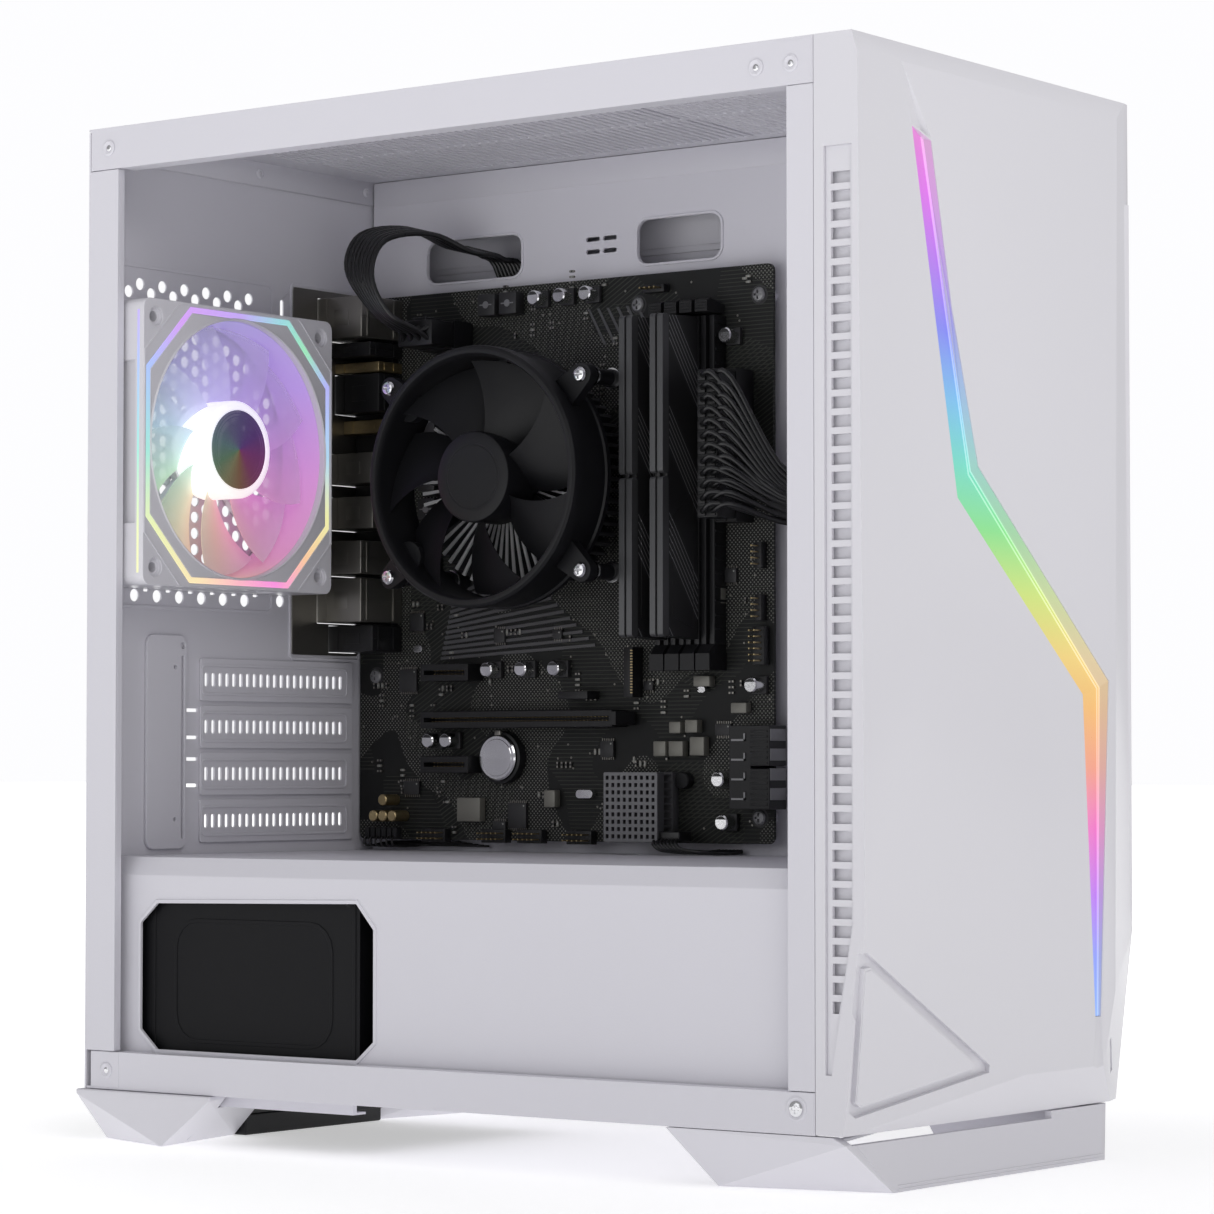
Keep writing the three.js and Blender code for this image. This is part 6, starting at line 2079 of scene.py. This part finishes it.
@dataclass
class Covers:
    """The right panel, the top socket strip with its buttons, and the two filters."""

    top: float = 400.6
    power: Point = (-44.0, 40.0)
    reset: Point = (-26.0, 40.0)

    def build(self) -> None:
        """Makes every cover."""
        self.right_panel()
        self.socket_strip()
        self.buttons()
        self.top_filter()
        self.supply_filter()

    def right_panel(self) -> None:
        """The plain panel with a rolled edge and knurled thumb screws."""
        dress("right_side_panel", PALETTE.steel, 0.4)
        ring = soft_box((26, 378), (7, 393.5), 5)
        Shape().sheet(Axis.X, ring, (102.3, 102.8), [offset(ring, -2.2)]).piece(
            "right_panel_ridge", PALETTE.steel, "right_panel", bevel=0.2)
        swage = Shape().box((100.6, 101.6), (150, 362), (357.5, 360.5), 0.45)
        swage.piece("right_panel_swage", PALETTE.steel, "right_panel")
        for number, z in enumerate((60, 350)):
            profile = [(0, 385.4), (4.6, 385.4), (4.9, 385.8), (4.9, 389.6), (4.4, 390.4), (3.0, 390.8),
                       (0, 390.8)]
            Shape().lathe(Axis.Y, (95.4, z), profile, 40).piece(
                f"thumb_screw_{number + 1}", PALETTE.chrome, "right_panel")
            knurl = Shape()
            for step in range(28):
                turn = 2 * math.pi * step / 28
                x, w = 95.4 + 4.9 * math.cos(turn), z + 4.9 * math.sin(turn)
                knurl.rod([(x, 386.0, w), (x, 389.4, w)], 0.22, 4)
            knurl.piece(f"thumb_screw_knurl_{number + 1}", PALETTE.chrome, "right_panel")

    def socket_strip(self) -> None:
        """The strip of top sockets, each with a tongue and a bright liner."""
        dress("top_io_panel", PALETTE.plastic, 0.5)
        tongues, liners = Shape(), Shape()
        for x in (-7, 11, 29):
            outline = [(x + 0.15, 36.95), (x + 12.45, 36.95), (x + 12.45, 43.05), (x + 0.15, 43.05)]
            liners.sheet(Axis.Z, outline, (390, 400.9), [offset(outline, -0.45)])
            tongues.box((x + 1.4, x + 11.2), (40.4, 42.2), (390, 400.2), 0.2)
        for x in (48.5, 54):
            profile = [(1.7, 390), (1.7, 400.9), (2.4, 401.3), (2.7, 401.2), (2.7, 400.9)]
            liners.lathe(Axis.Z, (x, 40), profile, 28)
        liners.piece("socket_liners", PALETTE.chrome)
        tongues.piece("socket_tongues", PALETTE.black)

    def buttons(self) -> None:
        """Two push buttons with dished tops."""
        for name, (x, y), radius in (("power_button", self.power, 7.0), ("reset_button", self.reset, 3.5)):
            high = self.top + 1.6
            profile = [(0, 392), (radius, 392), (radius, high - 0.7), (radius - 0.2, high - 0.2),
                       (radius - 0.8, high),
                       (radius * 0.6, high - 0.25), (0, high - 0.4)]
            Shape().lathe(Axis.Z, (x, y), profile, 56).piece(f"{name}_cap", PALETTE.plastic, name, [name])
            rim = [(radius + 0.35, self.top + 0.4), (radius + 0.35, self.top + 0.85),
                   (radius + 1.0, self.top + 1.0),
                   (radius + 1.5, self.top + 0.6)]
            Shape().lathe(Axis.Z, (x, y), rim, 56).piece(f"{name}_rim", PALETTE.chrome)

    def top_filter(self) -> None:
        """The framed net on the top plate."""
        x, y, z = (-86, 82), (160, 374), (400.9, 402.2)
        outline = soft_box(x, y, 3)
        opening = soft_box((x[0] + 5.5, x[1] - 5.5), (y[0] + 5.5, y[1] - 5.5), 1.5)
        rim = Shape().sheet(Axis.Z, outline, z, [opening])
        rim.box((-3.2, -0.8), (165, 369), (401.0, 401.6))
        rim.piece("top_filter_frame", PALETTE.plastic, "top_filter", ["top_dust_filter"], bevel=0.35)
        self.net((-81, 77), (165, 369), 401.2).piece("top_filter_net", PALETTE.white_net, "top_filter")

    def supply_filter(self) -> None:
        """The framed net that slides in under the power supply."""
        outline = soft_box((-84.8, 51.8), (254, 386), 2)
        rim = Shape().sheet(Axis.Z, outline, (-4.2, -0.4), [soft_box((-77.8, 44.8), (261, 379), 1.5)])
        for step in range(1, 4):
            x = -77.8 + 122.6 * step / 4
            rim.box(around(x, 1), (261, 379), (-3.4, -1.2))
        rim.piece("supply_filter_frame", PALETTE.black, "psu_filter", ["psu_dust_filter"], bevel=0.35)
        self.net((-78, 45), (260, 380), -2.3).piece("supply_filter_net", PALETTE.net, "psu_filter")

    def net(self, x: Span, y: Span, z: float, pitch: float = 2.0, thread: float = 0.7) -> Shape:
        """Threads crossing both ways in one fine layer."""
        threads = Shape()
        for step in range(int((x[1] - x[0]) / pitch) + 1):
            near = x[0] + pitch * step
            threads.box((near, near + thread), y, (z - 0.1, z + 0.02))
        for step in range(int((y[1] - y[0]) / pitch) + 1):
            near = y[0] + pitch * step
            threads.box(x, (near, near + thread), (z - 0.02, z + 0.1))
        return threads


# ------------------------------------------------------------------------------ stage


@dataclass
class Studio:
    """A pale floor, soft lights and the camera."""

    camera_place: Point = (-1.30007, -0.97262, 0.15475)
    pitch: float = 92.330
    heading: float = -53.334
    lens: float = 117.49
    sky: float = 0.35

    def build(self) -> None:
        """Sets up everything round the tower."""
        bpy.context.scene.view_settings.view_transform = "Standard"
        self.camera()
        self.world()
        self.floor()
        self.lamp("key", (-1.5, -1.9, 1.7), (1.3, 1.3), 11.8, (1.0, 0.985, 0.97))
        self.lamp("overhead", (-0.1, 0.0, 2.2), (1.6, 1.6), 9, (0.97, 0.98, 1.0))
        self.lamp("side", (-2.2, 0.5, 0.7), (1.2, 1.0), 3.2, (0.97, 0.98, 1.0))
        self.lamp("fill", (1.9, -1.2, 0.9), (1.2, 1.2), 2.5, (1.0, 1.0, 1.0))

    def camera(self) -> None:
        """The viewpoint, low and to the front left."""
        lens = bpy.data.cameras.new("camera")
        lens.lens = self.lens
        lens.sensor_width = 36
        eye = bpy.data.objects.new("camera", lens)
        eye.location = self.camera_place
        eye.rotation_euler = (math.radians(self.pitch), 0, math.radians(self.heading))
        bpy.context.scene.collection.objects.link(eye)
        bpy.context.scene.camera = eye
        eye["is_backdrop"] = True

    def world(self) -> None:
        """An even pale surround, white to the eye and softer as light."""
        world = bpy.data.worlds.new("surround")
        world.use_nodes = True
        bpy.context.scene.world = world
        nodes, links = world.node_tree.nodes, world.node_tree.links
        ground = nodes["Background"]
        path = nodes.new("ShaderNodeLightPath")
        share = nodes.new("ShaderNodeMapRange")
        share.inputs["To Min"].default_value = self.sky
        share.inputs["To Max"].default_value = 1.0
        links.new(path.outputs["Is Camera Ray"], share.inputs["Value"])
        links.new(share.outputs["Result"], ground.inputs["Strength"])
        ground.inputs["Color"].default_value = (0.985, 0.985, 1.0, 1.0)

    def floor(self) -> None:
        """A wide matt floor whose glow is dimmed near the tower as painted shade."""
        mesh = bpy.data.meshes.new("floor")
        level = CAD_BOX[0][2] - 0.0002
        reach = 30.0
        mesh.from_pydata([(-reach, -reach, level), (reach, -reach, level), (reach, reach, level),
                          (-reach, reach, level)], [], [(0, 1, 2, 3)])
        shader = Shader("floor_white")
        place = shader.place()
        reach_mm = (place["X"] * place["X"] + place["Y"] * place["Y"]).maths("SQRT")
        # painted shade: the floor's glow dims towards the tower and reaches full white about 1.3 m away
        far = ((reach_mm - 220.0) / 1100.0).clamped()
        shader.wear(Base_Color=(0.92, 0.92, 0.92), Roughness=0.75, Emission_Strength=1.0,
                    Emission_Color=shader.blend(far, (0.42, 0.42, 0.42), (1.0, 1.0, 1.0)))
        mesh.materials.append(shader.material)
        ground = bpy.data.objects.new("floor", mesh)
        bpy.context.scene.collection.objects.link(ground)
        ground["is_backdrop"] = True

    def lamp(self, name: str, place: Point, size: Span, power: float, colour: Colour) -> None:
        """A soft box aimed at the tower's middle."""
        light = bpy.data.lights.new(name, "AREA")
        light.shape = "RECTANGLE"
        light.size, light.size_y = size
        light.energy = power
        light.color = colour
        holder = bpy.data.objects.new(name, light)
        holder.location = place
        aim = Vector((0, 0, 0.2)) - Vector(place)
        holder.rotation_euler = aim.to_track_quat("-Z", "Y").to_euler()
        bpy.context.scene.collection.objects.link(holder)
        holder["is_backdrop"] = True


def main() -> None:
    """Builds the whole tower and its studio."""
    logging.basicConfig(level=logging.INFO)
    parts = (SteelCase(), FrontPanel(), Feet(), RearFan(), Cooler(), Memory(), Board(), Ports(), Cables(),
             PowerSupply(), Drive(), Covers(), Studio())
    for part in parts:
        LOG.info("building %s", type(part).__name__)
        part.build()


if __name__ == "__main__":
    main()
